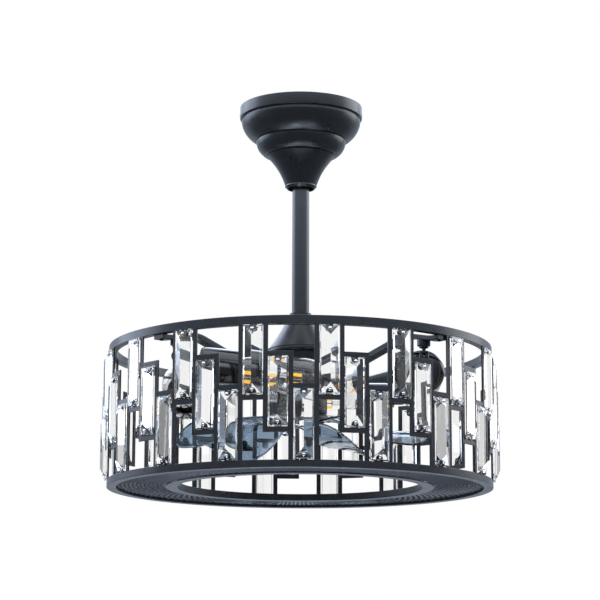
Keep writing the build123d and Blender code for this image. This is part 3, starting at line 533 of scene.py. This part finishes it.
armLook = Look(
    count=4, phase=45, halfWide=9.0, edge=0.9, joint=-50.0,
    beam=[(251, -10.8, 0.4), (237, -10.8, 7), (192, -1.3, 14), (42.5, -47), (42.5, -53), (192, -7.3, 14),
          (237, -16.8, 7), (251, -16.8, 0.4)],
    flange=[(-14.5, -8, 2.5), (14.5, -8, 2.5), (14.5, 8, 2.5), (-14.5, 8, 2.5)], flangeFrom=42.5,
    flangeTo=46.5, flangeEdge=0.6, lamp=220.0, steps=48,
    profile=[(0, -10.3), (8.4, -10.3), (8.4, -21.2, 0.6), (6, -21.2), (6, -23.4, 0.4), (3.05, -23.4),
             (3.05, -15.1), (0, -15.1)])
armScrewLook = Look(head=2.6, height=1.7, shank=1.4, length=6.5, spread=23.2, ringPlace=246.0, ringLow=-16.8)


def armPart(look):
    # folded bar, its foot plate on the collar, and the boss that holds a lamp
    beam = moved(plate(roundOff(look.beam, 6), -look.halfWide, look.halfWide, look.edge), upright)
    foot = plate(roundOff(look.flange), look.flangeFrom, look.flangeTo, look.flangeEdge)
    return join([beam, moved(foot, shift(z=look.joint), onSide), moved(turned(look), shift(x=look.lamp))])


def armScrews(look):
    one = screw(look)
    parts = [moved(one, shift(armLook.flangeTo, side * look.spread / 2, armLook.joint), alongX) for side in (-1, 1)]
    return join(parts + [moved(one, shift(x=look.ringPlace, z=look.ringLow), turnX(180))])


blackPiece("armSet", belowRing(around(armPart(armLook), armLook.count, armLook.phase)), "arms", flatFirst=True)
addPiece("armScrewSet", belowRing(around(armScrews(armScrewLook), armLook.count, armLook.phase)),
         surfaces["blackOxideSteel"], ["arm_screws"], "dark_screws")
print("motor and arms made")


# cage: rings, bars, crossbars and tabs

cage = Look(radius=254.0, inner=244.0, topHigh=10.8, bottomHigh=9.1, height=186.0, ledge=2.5, ledgeHigh=2.8, edge=0.5,
            ledgeEdges=(0.3, 0.4), setback=0.6, steps=256, units=17, slots=3, first=-13.14, cell=86.8)
bar = Look(width=6.0, thick=2.0, edge=0.3, endEdge=0.25, edgeSteps=2)
crossbar = Look(high=6.2, overlap=0.4, bends=6, edge=0.3)  # the overlap runs its ends into the uprights
tab = Look(width=9.0, long=9.5, thick=1.2, overlap=1.0, arcSteps=16, edge=0.3)
windowTop = ringTop - cage.topHigh
cageBottom = ringTop - cage.height
windowBottom = cageBottom + cage.bottomHigh
slotAngle = 360 / (cage.units * cage.slots)
cellHalfAngle = slotAngle / 2 - degrees(asin(bar.width / 2 / cage.radius))
barInner = cage.radius - bar.thick
crystalBack = cage.radius - cage.setback  # the tabs' outer face


def slotAngles(row):
    return [cage.first + unit * 360 / cage.units + row * slotAngle for unit in range(cage.units)]


def inEachSlot(row, part, turn=0.0):
    return [moved(part, fromFront(angle + turn)) for angle in slotAngles(row)]


def cellSpan(row):
    low = (windowTop - cage.cell, (windowTop + windowBottom - cage.cell) / 2, windowBottom)[row]
    return low, low + cage.cell


def tabPlate(start, direction):
    # round-ended tongue that reaches from a cell's edge behind the crystal
    half = tab.width / 2
    straight = start + direction * (tab.long - half)
    outline = [(half, start - direction * tab.overlap)]
    for k in range(tab.arcSteps + 1):
        angle = pi * k / tab.arcSteps
        outline.append((half * cos(angle), straight + direction * half * sin(angle)))
    outline.append((-half, start - direction * tab.overlap))
    return moved(plate(outline, crystalBack - tab.thick, crystalBack, tab.edge, bar.edgeSteps), onSide)


def crossbarPlate(low, high):
    # a flat strip that is wrapped round the Z axis
    half = radians(cellHalfAngle) * cage.radius + crossbar.overlap
    across = [-half + 2 * half * k / crossbar.bends for k in range(crossbar.bends + 1)]
    outline = [(y, low) for y in across] + [(y, high) for y in reversed(across)]
    points, faces = moved(plate(outline, barInner, cage.radius, crossbar.edge, bar.edgeSteps), onSide)
    return [Vector((p.x * cos(p.y / cage.radius), p.x * sin(p.y / cage.radius), p.z)) for p in points], faces


def topRing(look):
    band = lathe(roundOff([(look.radius, windowTop, look.edge), (look.radius, ringTop, look.edge),
                           (look.inner, ringTop, look.edge), (look.inner, windowTop, look.edge)]), look.steps)
    return join([band] + inEachSlot(0, tabPlate(windowTop, -1)))


def bottomRing(look):
    # its ledge carries the net
    ledgeIn, ledgeTop = look.inner - look.ledge, cageBottom + look.ledgeHigh
    band = lathe(roundOff([(look.radius, cageBottom, look.edge), (look.radius, windowBottom, look.edge),
                           (look.inner, windowBottom, look.edge), (look.inner, ledgeTop),
                           (ledgeIn, ledgeTop, look.ledgeEdges[0]), (ledgeIn, cageBottom, look.ledgeEdges[1])]),
                 look.steps)
    return join([band] + inEachSlot(2, tabPlate(windowBottom, 1)))


def uprightBars(look):
    half = look.width / 2
    outline = roundOff([(barInner, -half, look.edge), (cage.radius, -half, look.edge), (cage.radius, half, look.edge),
                        (barInner, half, look.edge)], 3)
    low, high = cellSpan(1)
    spans = [(windowBottom, windowTop), (low - crossbar.high, windowTop), (windowBottom, high + crossbar.high)]
    parts = []
    for row, span in enumerate(spans):
        parts += inEachSlot(row, plate(outline, *span, look.endEdge, look.edgeSteps), -slotAngle / 2)
    return join(parts)


def crossbarSet(look):
    parts = []
    for row in range(cage.slots):
        low, high = cellSpan(row)
        if row < cage.slots - 1:
            parts += inEachSlot(row, join([crossbarPlate(low - look.high, low), tabPlate(low, 1)]))
        if row > 0:
            parts += inEachSlot(row, join([crossbarPlate(high, high + look.high), tabPlate(high, -1)]))
    return join(parts)


blackPiece("topRingBand", topRing(cage), "top_ring", flatFirst=True)
blackPiece("bottomRingBand", bottomRing(cage), "bottom_ring", flatFirst=True)
blackPiece("uprightBars", uprightBars(bar), "cage_bars", flatFirst=True)
blackPiece("crossbarSet", crossbarSet(crossbar), "cage_crossbars", flatFirst=True)
print("cage made")


# crystals and their pins

crystalLook = Look(sideGap=0.33, height=86.3, plinth=3.4, depth=9.6, border=1.2, hip=14.0, pinInset=5.5, backInset=2.6,
                   backDepth=1.7, hole=1.2, seat=2.5, seatHigh=4.6, overrun=1, holeSteps=20, arris=0.16, arrisTurn=24)


def oneCrystal(look):
    # plinth with a hipped ridge and a slanted border behind; the pin holes are cut, then every arris is taken off
    halfWide = crystalBack * tan(radians(cellHalfAngle)) - look.sideGap
    halfHigh = look.height / 2
    points = []
    for x, inset in ((0, look.backInset), (look.backDepth, 0), (look.plinth, 0), (look.plinth, look.border)):
        wide, high = halfWide - inset, halfHigh - inset
        points += [(x, -wide, -high), (x, wide, -high), (x, wide, high), (x, -wide, high)]
    faces = wrap(points, 4) + [[12, 13, 16], [13, 14, 17, 16], [14, 15, 17], [15, 12, 16, 17]]
    points += [(look.depth, 0, look.hip - halfHigh), (look.depth, 0, halfHigh - look.hip)]
    far = look.depth + look.overrun
    pin = lathe([(0, -look.overrun), (look.hole, -look.overrun), (look.hole, look.seatHigh), (look.seat, look.seatHigh),
                 (look.seat, far), (0, far)], look.holeSteps)
    cutters = [moved(pin, shift(z=side * (halfHigh - look.pinInset)), alongX) for side in (-1, 1)]
    body = addObject("crystalBlank", meshFrom("crystalBlank", (points, faces)))
    cutter = addObject("crystalCutter", meshFrom("crystalCutter", join(cutters)))
    addModifier(body, "BOOLEAN", object=cutter, solver="EXACT")
    addModifier(body, "BEVEL", width=look.arris * mm, segments=1, limit_method="ANGLE",
                angle_limit=radians(look.arrisTurn))
    bpy.context.view_layer.update()
    done = bpy.data.meshes.new_from_object(body.evaluated_get(bpy.context.evaluated_depsgraph_get()))
    part = ([v.co / mm for v in done.vertices], [list(p.vertices) for p in done.polygons])
    for scrap in (body, cutter):
        bpy.data.objects.remove(scrap)
    return part


def onCage(part, row, height=0.0):
    # a part on the tabs of every cell in a row, counted up from the cell's middle
    return inEachSlot(row, moved(part, shift(x=crystalBack, z=sum(cellSpan(row)) / 2 + height)))


crystal = oneCrystal(crystalLook)
for row, rowName in enumerate(("top", "middle", "low")):
    addPiece(f"crystalRow_{rowName}", join(onCage(crystal, row)), cutCrystal, [f"crystals_{rowName}"], "crystal",
             smooth=0)

pinLook = Look(steps=20, profile=[(0, -1.8), (0.9, -1.8), (1.1, -1.6), (1.1, 4.6), (2.3, 4.6), (2.3, 4.85),
                                  ((2.185, 5.755), (0, 5.81), 6)])
pinPart = moved(turned(pinLook), alongX)
pinHeight = crystalLook.height / 2 - crystalLook.pinInset
pinParts = [pin for row in range(cage.slots) for side in (-1, 1) for pin in onCage(pinPart, row, side * pinHeight)]
addPiece("crystalPinSet", join(pinParts), surfaces["chromePlatedSteel"], ["crystal_pins"], "pin_chrome")
print("crystals and pins made")


# net and inner rim

netLook = Look(inner=174.2, outer=243.7, low=-516.3, thick=0.9, columns=120, rows=13, open=0.62, relief=0.2, tilt=1.2,
               quarters=4)


def netQuarter(look, quarter):
    # expanded metal: staggered diamonds, the strands tilted as the stretching leaves them
    columns = look.columns // look.quarters
    step = (look.outer - look.inner) / look.rows
    turn = 2 * pi / look.columns
    low, top = look.low, look.low + look.thick
    points, faces, known = [], [], {}

    def spot(row, column):
        radius = look.inner + step * row
        angle = (quarter * columns + column + (row % 2) / 2) * turn
        return Vector((radius * cos(angle), radius * sin(angle), 0))

    def corner(row, column):
        if (row, column) not in known:
            known[row, column] = len(points)
            here = spot(row, column)
            points.extend(here + Vector((0, 0, height)) for height in (low, top))
        return known[row, column]

    for row in range(look.rows + 1):
        for column in range(columns):
            above = column if row % 2 == 0 else column + 1
            ring = [(row, column), (row + 1, above), (row, column + 1), (row - 1, above)]
            if row == 0:
                ring = ring[:3]
            elif row == look.rows:
                ring.pop(1)
            outer = [corner(*place) for place in ring]
            if len(ring) == 3:  # solid selvage at both edges
                faces += [outer, [k + 1 for k in reversed(outer)]]
                a, b = (outer[0], outer[2]) if row == 0 else (outer[0], outer[1])
                faces.append([a, b, b + 1, a + 1])
                continue
            middle = sum((spot(*place) for place in ring), Vector()) / 4
            inner = [len(points) + 2 * k for k in range(4)]
            for place in ring:
                here = middle + (spot(*place) - middle) * look.open
                lift = (row - place[0]) * look.tilt
                points += [here + Vector((0, 0, height + lift)) for height in (low + look.relief, top - look.relief)]
            for k in range(4):
                a, b, c, d = outer[k], outer[(k + 1) % 4], inner[(k + 1) % 4], inner[k]
                faces += [[a, b, c, d], [a + 1, d + 1, c + 1, b + 1], [d, c, c + 1, d + 1]]
    return points, faces


for quarter in range(netLook.quarters):
    addPiece(f"netQuarter_{quarter + 1}", netQuarter(netLook, quarter), netBlack, ["bottom_net"], "black_metal",
             smooth=50)

outletLook = Look(steps=224, profile=[
    (161, -518.4, 0.6), (176.5, -518.4, 0.5), (176.5, -517.2, 0.3), (163, -517.2, 0.5), (163, -509, 0.6),
    (161, -509, 0.6)])
blackPiece("outletRim", turned(outletLook), "inner_rim", flatFirst=True)
print("net and rim made")


# rotor: hub, cap, screws and blades

hubLook = Look(steps=96, profile=[(4, -89), (33, -89, 0.8), (33, -94, 0.8), (15, -94, 1),
                                  (15, -109.6), (14.6, -110), (4, -110)])
blackPiece("hubFlange", belowRing(turned(hubLook)), "blade_hub", "rotor")
hubCapLook = Look(steps=72, profile=[(0, -110), (14.3, -110), (15, -110.6), ((14.6, -119), (0, -119), 14)])
blackPiece("hubDome", belowRing(turned(hubCapLook)), "hub_cap", "rotor")

bladeLook = Look(
    count=5, phase=-9, sweep=170.0, rootStart=23.0, rootEnd=40.8, rootWidth=30.0, rootThick=2.5, thick=2.2, chord=88.0,
    pitch=-18.0, rootDrop=95.25, tipDrop=122.0, camber=6.0, corner=15.0, rootCorner=4, riseFrom=32, riseOver=10,
    bendFrom=90, along=(0.0, 0.26, 0.55, 0.84, 1.06), chords=(0.0, 0.64, 0.96, 1.0, 0.88),
    pitches=(0.0, 0.55, 0.88, 1.0, 1.0), drops=(0.0, 0.34, 0.76, 0.98, 1.03), bodySteps=30, cornerSteps=12, cross=28,
    rootStations=(0.0, 0.03, 0.1, 0.25, 0.5, 0.8), tipStations=(0.5, 0.8, 0.95, 1.0), edgeTurns=(1.4, 1.75, 2.0),
    rounds=4)
bladeScrewLook = Look(head=3.0, height=1.6, shank=1.6, length=4.0, place=28.0, spread=16.0, low=-96.5)
bladeScrews = join([moved(screw(bladeScrewLook), shift(bladeScrewLook.place, side * bladeScrewLook.spread / 2,
                                                       ringTop + bladeScrewLook.low), turnX(180)) for side in (-1, 1)])
addPiece("bladeScrewSet", around(bladeScrews, bladeLook.count, bladeLook.phase), surfaces["blackOxideSteel"],
         ["blade_screws"], "dark_screws", "rotor")


def clamp(value):
    return min(max(value, 0.0), 1.0)


def through(places, values, here):
    # the smooth curve that passes through all the values
    total = 0.0
    for k, value in enumerate(values):
        share = 1.0
        for j, place in enumerate(places):
            if j != k:
                share *= (here - place) / (places[k] - place)
        total += value * share
    return total


def bladeFacts(look, radius):
    along = max((radius - look.rootEnd) / (look.sweep - look.rootEnd), 0.0)
    chordShare = through(look.along, look.chords, along)
    chord = look.rootWidth + chordShare * (look.chord - look.rootWidth)
    pitch = radians(look.pitch) * through(look.along, look.pitches, along)
    drop = look.rootDrop + (look.tipDrop - look.rootDrop) * through(look.along, look.drops, along)
    rise = clamp((radius - look.riseFrom) / look.riseOver)
    camber = look.camber * (look.chords[1] + chordShare) / 2 * rise * rise * (3 - 2 * rise)
    return chord, pitch, drop, camber, look.rootThick + (look.thick - look.rootThick) * rise


def cornerCut(radius, into):
    # how far a rounded corner has come in at this distance into it
    return radius - sqrt(max(radius ** 2 - max(into, 0.0) ** 2, 0.0))


def bladePart(look):
    # twisted cambered sheet with rounded edges and corners; the tip follows the circle it sweeps
    halfThick = look.thick / 2
    bodyEnd = look.sweep - look.corner
    stations = [look.rootStart + share * (look.rootEnd - look.rootStart) for share in look.rootStations]
    stations += [look.rootEnd + (bodyEnd - look.rootEnd) * k / look.bodySteps for k in range(look.bodySteps)]
    stations += [bodyEnd + (look.corner - halfThick) * sin(pi / 2 * k / look.cornerSteps)
                 for k in range(look.cornerSteps + 1)]
    stations += [look.sweep - halfThick + halfThick * share for share in look.tipStations]
    flat = [-1 + 2 * k / look.cross for k in range(look.cross + 1)]
    over, under = list(look.edgeTurns), list(look.edgeTurns[:-1])[::-1]
    # once round the section: the share of the half chord (beyond 1 on the rounded edge), and the side
    course = [(share, 1) for share in flat + over] + [(share, -1) for share in under + flat[::-1]]
    course += [(-share, -1) for share in over] + [(-share, 1) for share in under]
    points = []
    for radius in stations:
        cut = cornerCut(look.corner, radius - bodyEnd)
        cut += cornerCut(look.rootCorner, look.rootStart + look.rootCorner - radius)
        thin = sqrt(max(1 - (max(radius - look.sweep + halfThick, 0.0) / halfThick) ** 2, 0.0))
        bend = clamp((radius - look.bendFrom) / (look.sweep - look.bendFrom))
        for share, side in course:
            x = radius
            for _ in range(look.rounds):  # x and y depend on each other
                chord, pitch, drop, camber, thick = bladeFacts(look, x)
                flatHalf = chord / 2 - cut - thick / 2
                turn = max(abs(share) - 1, 0.0) * pi / 2
                edge = thick / 2 * sin(turn) * (1 if share > 0 else -1)
                along = min(max(share, -1), 1) * flatHalf + edge
                lift = camber * (1 - (along / (chord / 2)) ** 2) + side * thick / 2 * cos(turn) * thin
                y = along * cos(pitch) + lift * sin(pitch)
                x = radius * (1 - bend) + sqrt(max(radius ** 2 - y ** 2, 0.0)) * bend
            points.append(Vector((x, y, ringTop - drop - along * sin(pitch) + lift * cos(pitch))))
    return points, wrap(points, len(course))


blade = bladePart(bladeLook)
for number in range(bladeLook.count):
    turn = turnZ(bladeLook.phase + 360 * number / bladeLook.count)
    addPiece(f"bladeSheet_{number + 1}", moved(blade, turn), smokeAcrylic, [f"blade_{number + 1}"], "blade_acrylic",
             "rotor")
print("rotor made")


# lamps: the swivel's knuckle is their origin; cup, holder and bulb lie on an axis below it, measured along it

lampLook = Look(place=220.0, drop=35.2, tilts=(6, 0, 0, 0), axisDrop=13.0)
forkLook = Look(disc=6.8, inside=2.5, outside=5.2, neck=2.4, bridge=(4.9, 7.0), bridgeInset=0.1, arcFrom=125, arc=290,
                arcSteps=24, cheekEdge=0.4, bridgeEdge=0.3, edgeSteps=2, steps=32,
                profile=[(0, 4.9), (2.4, 4.9), (2.4, 11.1), (4.4, 11.1, 0.2), (4.4, 11.7, 0.2), (3, 11.7),
                         (3, 19.8), (0, 19.8)])
cupLook = Look(steps=96, profile=[
    (0, 24), (5.5, 24, 0.7), (5.5, 28, 0.6), (19.5, 28), ((28.5, 28), (28.5, 37), 10), (28.5, 91.3),
    (28.3, 91.8), (27.8, 92), (27.3, 92), (26.9, 91.6), (26.9, 37), ((26.9, 29.6), (19.5, 29.6), 8), (0, 29.6)])
linkLook = Look(radius=2.1, reach=11.0, bend=8.0, bendSteps=10, end=25.5)
eyeLook = Look(steps=40, profile=[(0, -2.2), (4.6, -2.2, 0.5), (4.6, 2.2, 0.5), (0, 2.2)])
rivetLook = Look(steps=28, half=[(0, 6.1), (1.6, 6), (2.5, 5.5), (2.5, 5.2), (1.5, 5.2)])
holderLook = Look(steps=64, profile=[(0, 29.6), (16, 29.6, 1.5), (16, 65.6, 1), (13.1, 65.6, 0.6), (13.1, 41.6),
                                     (0, 41.6)])
bulbLook = Look(steps=96, profile=[
    (12, 60), (12, 72), ((28, 112), (28, 160), 28), ((28, 191), (0, 191), 20), (0, 190.1),
    ((27.1, 190.1), (27.1, 160), 20), ((27.1, 112), (11.1, 72), 28), (11.1, 60)])
capLook = Look(start=41.6, end=67.1, radius=13.0, wall=0.8, pitch=3.6, depth=0.55, margin=1.5, button=(0.4, 0.75, 0.6),
               threadSteps=40, steps=48)
stemLook = Look(steps=32, profile=[(0, 60), (10.9, 60), (10.9, 60.7), ((3.6, 62), (3, 71), 10),
                                   (2.4, 104), (2.85, 109), ((3, 112), (0, 112), 6)])
filamentLook = Look(count=4, phase=45, circle=8.0, steps=16, profile=[
    (0, 111.2), (0.8, 111.3), (1, 111.9), (1, 158.5), (0.8, 159.1), (0, 159.2)])
leadLook = Look(radius=0.45, sides=10, inner=4.8, bendSteps=5, ends=((111.2, 111.8), (160.0, 158.6)), steps=16,
                profile=[(0, 110), (0.8, 110), (0.8, 160.2), (0, 160.6)])


def onLampAxis(part):
    return moved(part, shift(z=-lampLook.axisDrop), alongX)


def forkPart(look):
    # two round cheeks, a bridge over them and the post that turns in the arm's boss
    low, high = look.bridge
    angles = [radians(look.arcFrom + look.arc * k / look.arcSteps) for k in range(look.arcSteps + 1)]
    cheek = [(-look.neck, high)] + [(look.disc * cos(a), look.disc * sin(a)) for a in angles] + [(look.neck, high)]
    bridge = [(-look.neck, low), (look.neck, low), (look.neck, high), (-look.neck, high)]
    half = look.outside - look.bridgeInset
    parts = [plate(cheek, -look.outside, -look.inside, look.cheekEdge, look.edgeSteps),
             plate(cheek, look.inside, look.outside, look.cheekEdge, look.edgeSteps),
             plate(bridge, -half, half, look.bridgeEdge, look.edgeSteps)]
    return join([moved(part, upright) for part in parts] + [turned(look)])


def cupPart(look):
    # turned cup with a bent link to the fork, an eye and a rivet at its end
    corner = Vector((linkLook.reach, 0, -lampLook.axisDrop))
    first = corner.normalized()
    cutBack = linkLook.bend * tan(first.angle(Vector((1, 0, 0))) / 2)
    begin, finish = corner - first * cutBack, corner + Vector((cutBack, 0, 0))
    path = [Vector((0, 0, 0)), begin * 0.5, begin]
    path += [Vector(p) for p in bezier(begin, corner, finish, linkLook.bendSteps)]
    path.append(Vector((linkLook.end, 0, -lampLook.axisDrop)))
    rivet = lathe([(radius, -out) for radius, out in rivetLook.half] + rivetLook.half[::-1], rivetLook.steps)
    return join([onLampAxis(turned(look)), tube(path, linkLook.radius), moved(turned(eyeLook), turnX(90)),
                 moved(rivet, turnX(90))])


def screwCap(look):
    # rolled screw thread
    def thread(inset):
        def reach(angle, height):
            wave = cos(2 * pi * height / look.pitch - angle)
            return look.radius - inset - look.depth / 2 + look.depth / 2 * wave
        return reach

    long = look.end - look.start - 2 * look.margin
    heights = [look.start + look.margin + long * k / look.threadSteps for k in range(look.threadSteps + 1)]
    contact, shoulder, rise = look.button
    outline = [(0, look.start), (look.radius * contact, look.start), (look.radius * shoulder, look.start + rise)]
    outline += [(thread(0.0), height) for height in heights]
    outline += [(look.radius, look.end), (look.radius - look.wall, look.end)]
    outline += [(thread(look.wall), height) for height in reversed(heights)]
    return lathe(outline + [(0, look.start + look.margin)], look.steps)


def filamentPart(look):
    return around(moved(turned(look), shift(x=look.circle)), look.count, look.phase)


def leadPart(look, circle, count, phase):
    # thin wires from the stem to both ends of each filament
    wires = []
    for base, tip in look.ends:
        path = [(0, 0, base), (look.inner, 0, base)]
        path += bezier(path[1], (circle, 0, base), (circle, 0, tip), look.bendSteps)
        wires.append(tube([Vector(p) for p in path], look.radius, look.sides))
    return join([turned(look), around(join(wires), count, phase)])


leads = leadPart(leadLook, filamentLook.circle, filamentLook.count, filamentLook.phase)
# name, shape, material, node that it replaces, slot
lampPieces = [
    ("lampCup", cupPart(cupLook), lacquerBlack, "lamp_cup", "cup_gloss"),
    ("lampHolder", onLampAxis(turned(holderLook)), surfaces["glazedPorcelain"], "lamp_holder", "holder_ceramic"),
    ("bulbGlass", onLampAxis(turned(bulbLook)), bulbGlass, "bulb_glass", "bulb_glass"),
    ("bulbCap", onLampAxis(screwCap(capLook)), surfaces["nickelPlatedBrass"], "bulb_core", "bulb_core"),
    ("bulbStem", onLampAxis(turned(stemLook)), bulbGlass, None, "bulb_core"),
    ("bulbWires", onLampAxis(leads), surfaces["nickelWire"], None, "bulb_core"),
    ("bulbFilaments", onLampAxis(filamentPart(filamentLook)), filamentYellow, None, "bulb_core")]
fork = forkPart(forkLook)
aside = -lampLook.place / sqrt(2)
for number, tilt in enumerate(lampLook.tilts, start=1):
    knuckle = turnZ(90 * (number - 1)) @ shift(aside, aside, ringTop - lampLook.drop)
    blackPiece(f"swivelFork_{number}", moved(fork, knuckle), f"swivel_{number}", f"lamp_swivel_{number}",
               flatFirst=True)
    for name, part, material, node, slotName in lampPieces:
        addPiece(f"{name}_{number}", moved(part, knuckle, turnY(tilt)), material,
                 [f"{node}_{number}"] if node else (), slotName, f"lamp_{number}")
print("lamps made")


# camera, light and floor

cameraLook = Look(focal=128.04, sensor=36, spot=(0.0, -2805.0, -821.0), pitch=11.2, roll=0.173, shift=-0.52 / 600,
                  seesTo=50000.0)
cameraData = bpy.data.cameras.new("camera")
cameraData.lens = cameraLook.focal
cameraData.sensor_width = cameraLook.sensor
cameraData.shift_x = cameraLook.shift
cameraData.clip_end = cameraLook.seesTo * mm
camera = addObject("camera", cameraData)
camera.location = Vector(cameraLook.spot) * mm
camera.rotation_euler = (turnX(90 + cameraLook.pitch) @ turnZ(cameraLook.roll)).to_euler()
bpy.context.scene.camera = camera
bpy.context.scene.view_settings.view_transform = "Standard"

# What gloss and glass show of the room around: how bright it is, and more or less light on some sides.
# Each side is (axis, sign, where it starts, where it is full, how much it adds); sign 0 takes both ends.
ambient = 0.55
room = Look(gloss=Look(base=0.28, tint="#d6e3f6", sides=[
                ("X", 0, 0.6, 1.0, 0.12), ("Z", 1, 0.16, 0.4, 2.9), ("Z", 1, 0.5, 0.9, -2.6), ("Y", 1, 0.2, 0.9, 0.5)]),
            glass=Look(base=0.92, tint="#ffffff", sides=[
                ("X", 0, 0.55, 0.9, -0.42), ("Z", 1, 0.35, 0.8, -0.3), ("Z", -1, 0.35, 0.8, -0.25),
                ("Y", 1, 0.5, 0.9, 0.03), ("Y", -1, 0.5, 0.95, -0.6)]))


def roomBrightness(tree, look):
    place = addNode(tree, "TexCoord", {})
    direction = addNode(tree, "SeparateXYZ", {0: place.outputs["Generated"]})
    total = look.base
    for axis, sign, start, full, amount in look.sides:
        side = addNode(tree, "Math", {"operation": "MULTIPLY" if sign else "ABSOLUTE", 0: direction.outputs[axis],
                                      1: float(sign)})
        total = addNode(tree, "Math", {"operation": "ADD", 1: total,
                                       0: addRange(tree, side, start, full, 0.0, amount, "SMOOTHSTEP")})
    return total


world = bpy.data.worlds.new("studio")
bpy.context.scene.world = world
world.use_nodes = True
tree = world.node_tree
tree.nodes.clear()
path = addNode(tree, "LightPath", {})
strength = addBlend(tree, path.outputs["Is Glossy Ray"], ambient, roomBrightness(tree, room.gloss))
strength = addBlend(tree, path.outputs["Is Transmission Ray"], strength, roomBrightness(tree, room.glass))
strength = addBlend(tree, path.outputs["Is Camera Ray"], strength, 1.0)
tint = addTint(tree, room.glass.tint, room.gloss.tint, mirroredRays(tree, path))
addNode(tree, "OutputWorld", {"Surface": addNode(tree, "Background", {"Color": tint, "Strength": strength})})

softboxes = {"softboxLeft": Look(spot=(-2350, 900, 850), size=(2100, 2100), watts=42, tint="#d6e3fb"),
             "softboxRight": Look(spot=(2350, 900, 850), size=(1900, 2100), watts=28, tint="#ffffff"),
             "softboxTop": Look(spot=(0, -400, 1500), size=(1600, 1600), watts=8, tint="#ffffff")}
for name, look in softboxes.items():
    lampData = bpy.data.lights.new(name, "AREA")
    lampData.shape = "RECTANGLE"
    lampData.size, lampData.size_y = look.size[0] * mm, look.size[1] * mm
    lampData.energy = look.watts
    lampData.color = toLinear(look.tint)[:3]
    lamp = addObject(name, lampData)
    lamp.location = Vector(look.spot) * mm
    aim = Vector((0, 0, ringTop)) * mm - lamp.location
    lamp.rotation_euler = aim.to_track_quat("-Z", "Y").to_euler()

floorLook = Look(height=-2900.0, half=6000.0, tone="#f4f4f4", lift=0.35, fadeIn=1800.0, fadeOut=5000.0, poolIn=460.0,
                 poolOut=1530.0, poolDim=0.3, poolBright=15.0)


def floorMaterial(look):
    # pale studio floor
    material, tree = startMaterial("floorPale")
    path = addNode(tree, "LightPath", {})
    place = addNode(tree, "TexCoord", {})
    away = addNode(tree, "VectorMath", {"operation": "LENGTH", 0: place.outputs["Object"]}).outputs["Value"]
    pale = addNode(tree, "BsdfDiffuse", {"Color": toLinear(look.tone)})
    lifted = addNode(tree, "AddShader", {0: pale, 1: addNode(tree, "Emission", {"Strength": look.lift})})
    # the camera sees it turn into the white background before its edge
    fade = addRange(tree, away, look.fadeIn * mm, look.fadeOut * mm, 0.0, 1.0, "SMOOTHSTEP")
    fadeSeen = addNode(tree, "Math", {"operation": "MULTIPLY", 0: fade, 1: path.outputs["Is Camera Ray"]})
    faded = mixShaders(tree, fadeSeen, lifted, addNode(tree, "Emission", {"Strength": 1.0}))
    seen = addNode(tree, "Math", {"operation": "MAXIMUM", 0: path.outputs["Is Camera Ray"],
                                  1: path.outputs["Is Transmission Ray"]})
    # what gloss shows of the floor: dim, with a bright pool straight below the fan
    pool = addRange(tree, away, look.poolOut * mm, look.poolIn * mm, look.poolDim, look.poolBright, "SMOOTHSTEP")
    glow = addNode(tree, "Emission", {"Color": toLinear(room.gloss.tint), "Strength": pool})
    return finishMaterial(material, tree, mixShaders(tree, mirroredRays(tree, path),
                                                     mixShaders(tree, seen, pale, faded), glow))


half = floorLook.half
floor = addObject("floor", meshFrom("floor", (
    [(-half, -half, 0), (half, -half, 0), (half, half, 0), (-half, half, 0)], [[0, 1, 2, 3]])))
floor.location = (0, 0, floorLook.height * mm)
floor.data.materials.append(floorMaterial(floorLook))
print("camera, lights and floor set")
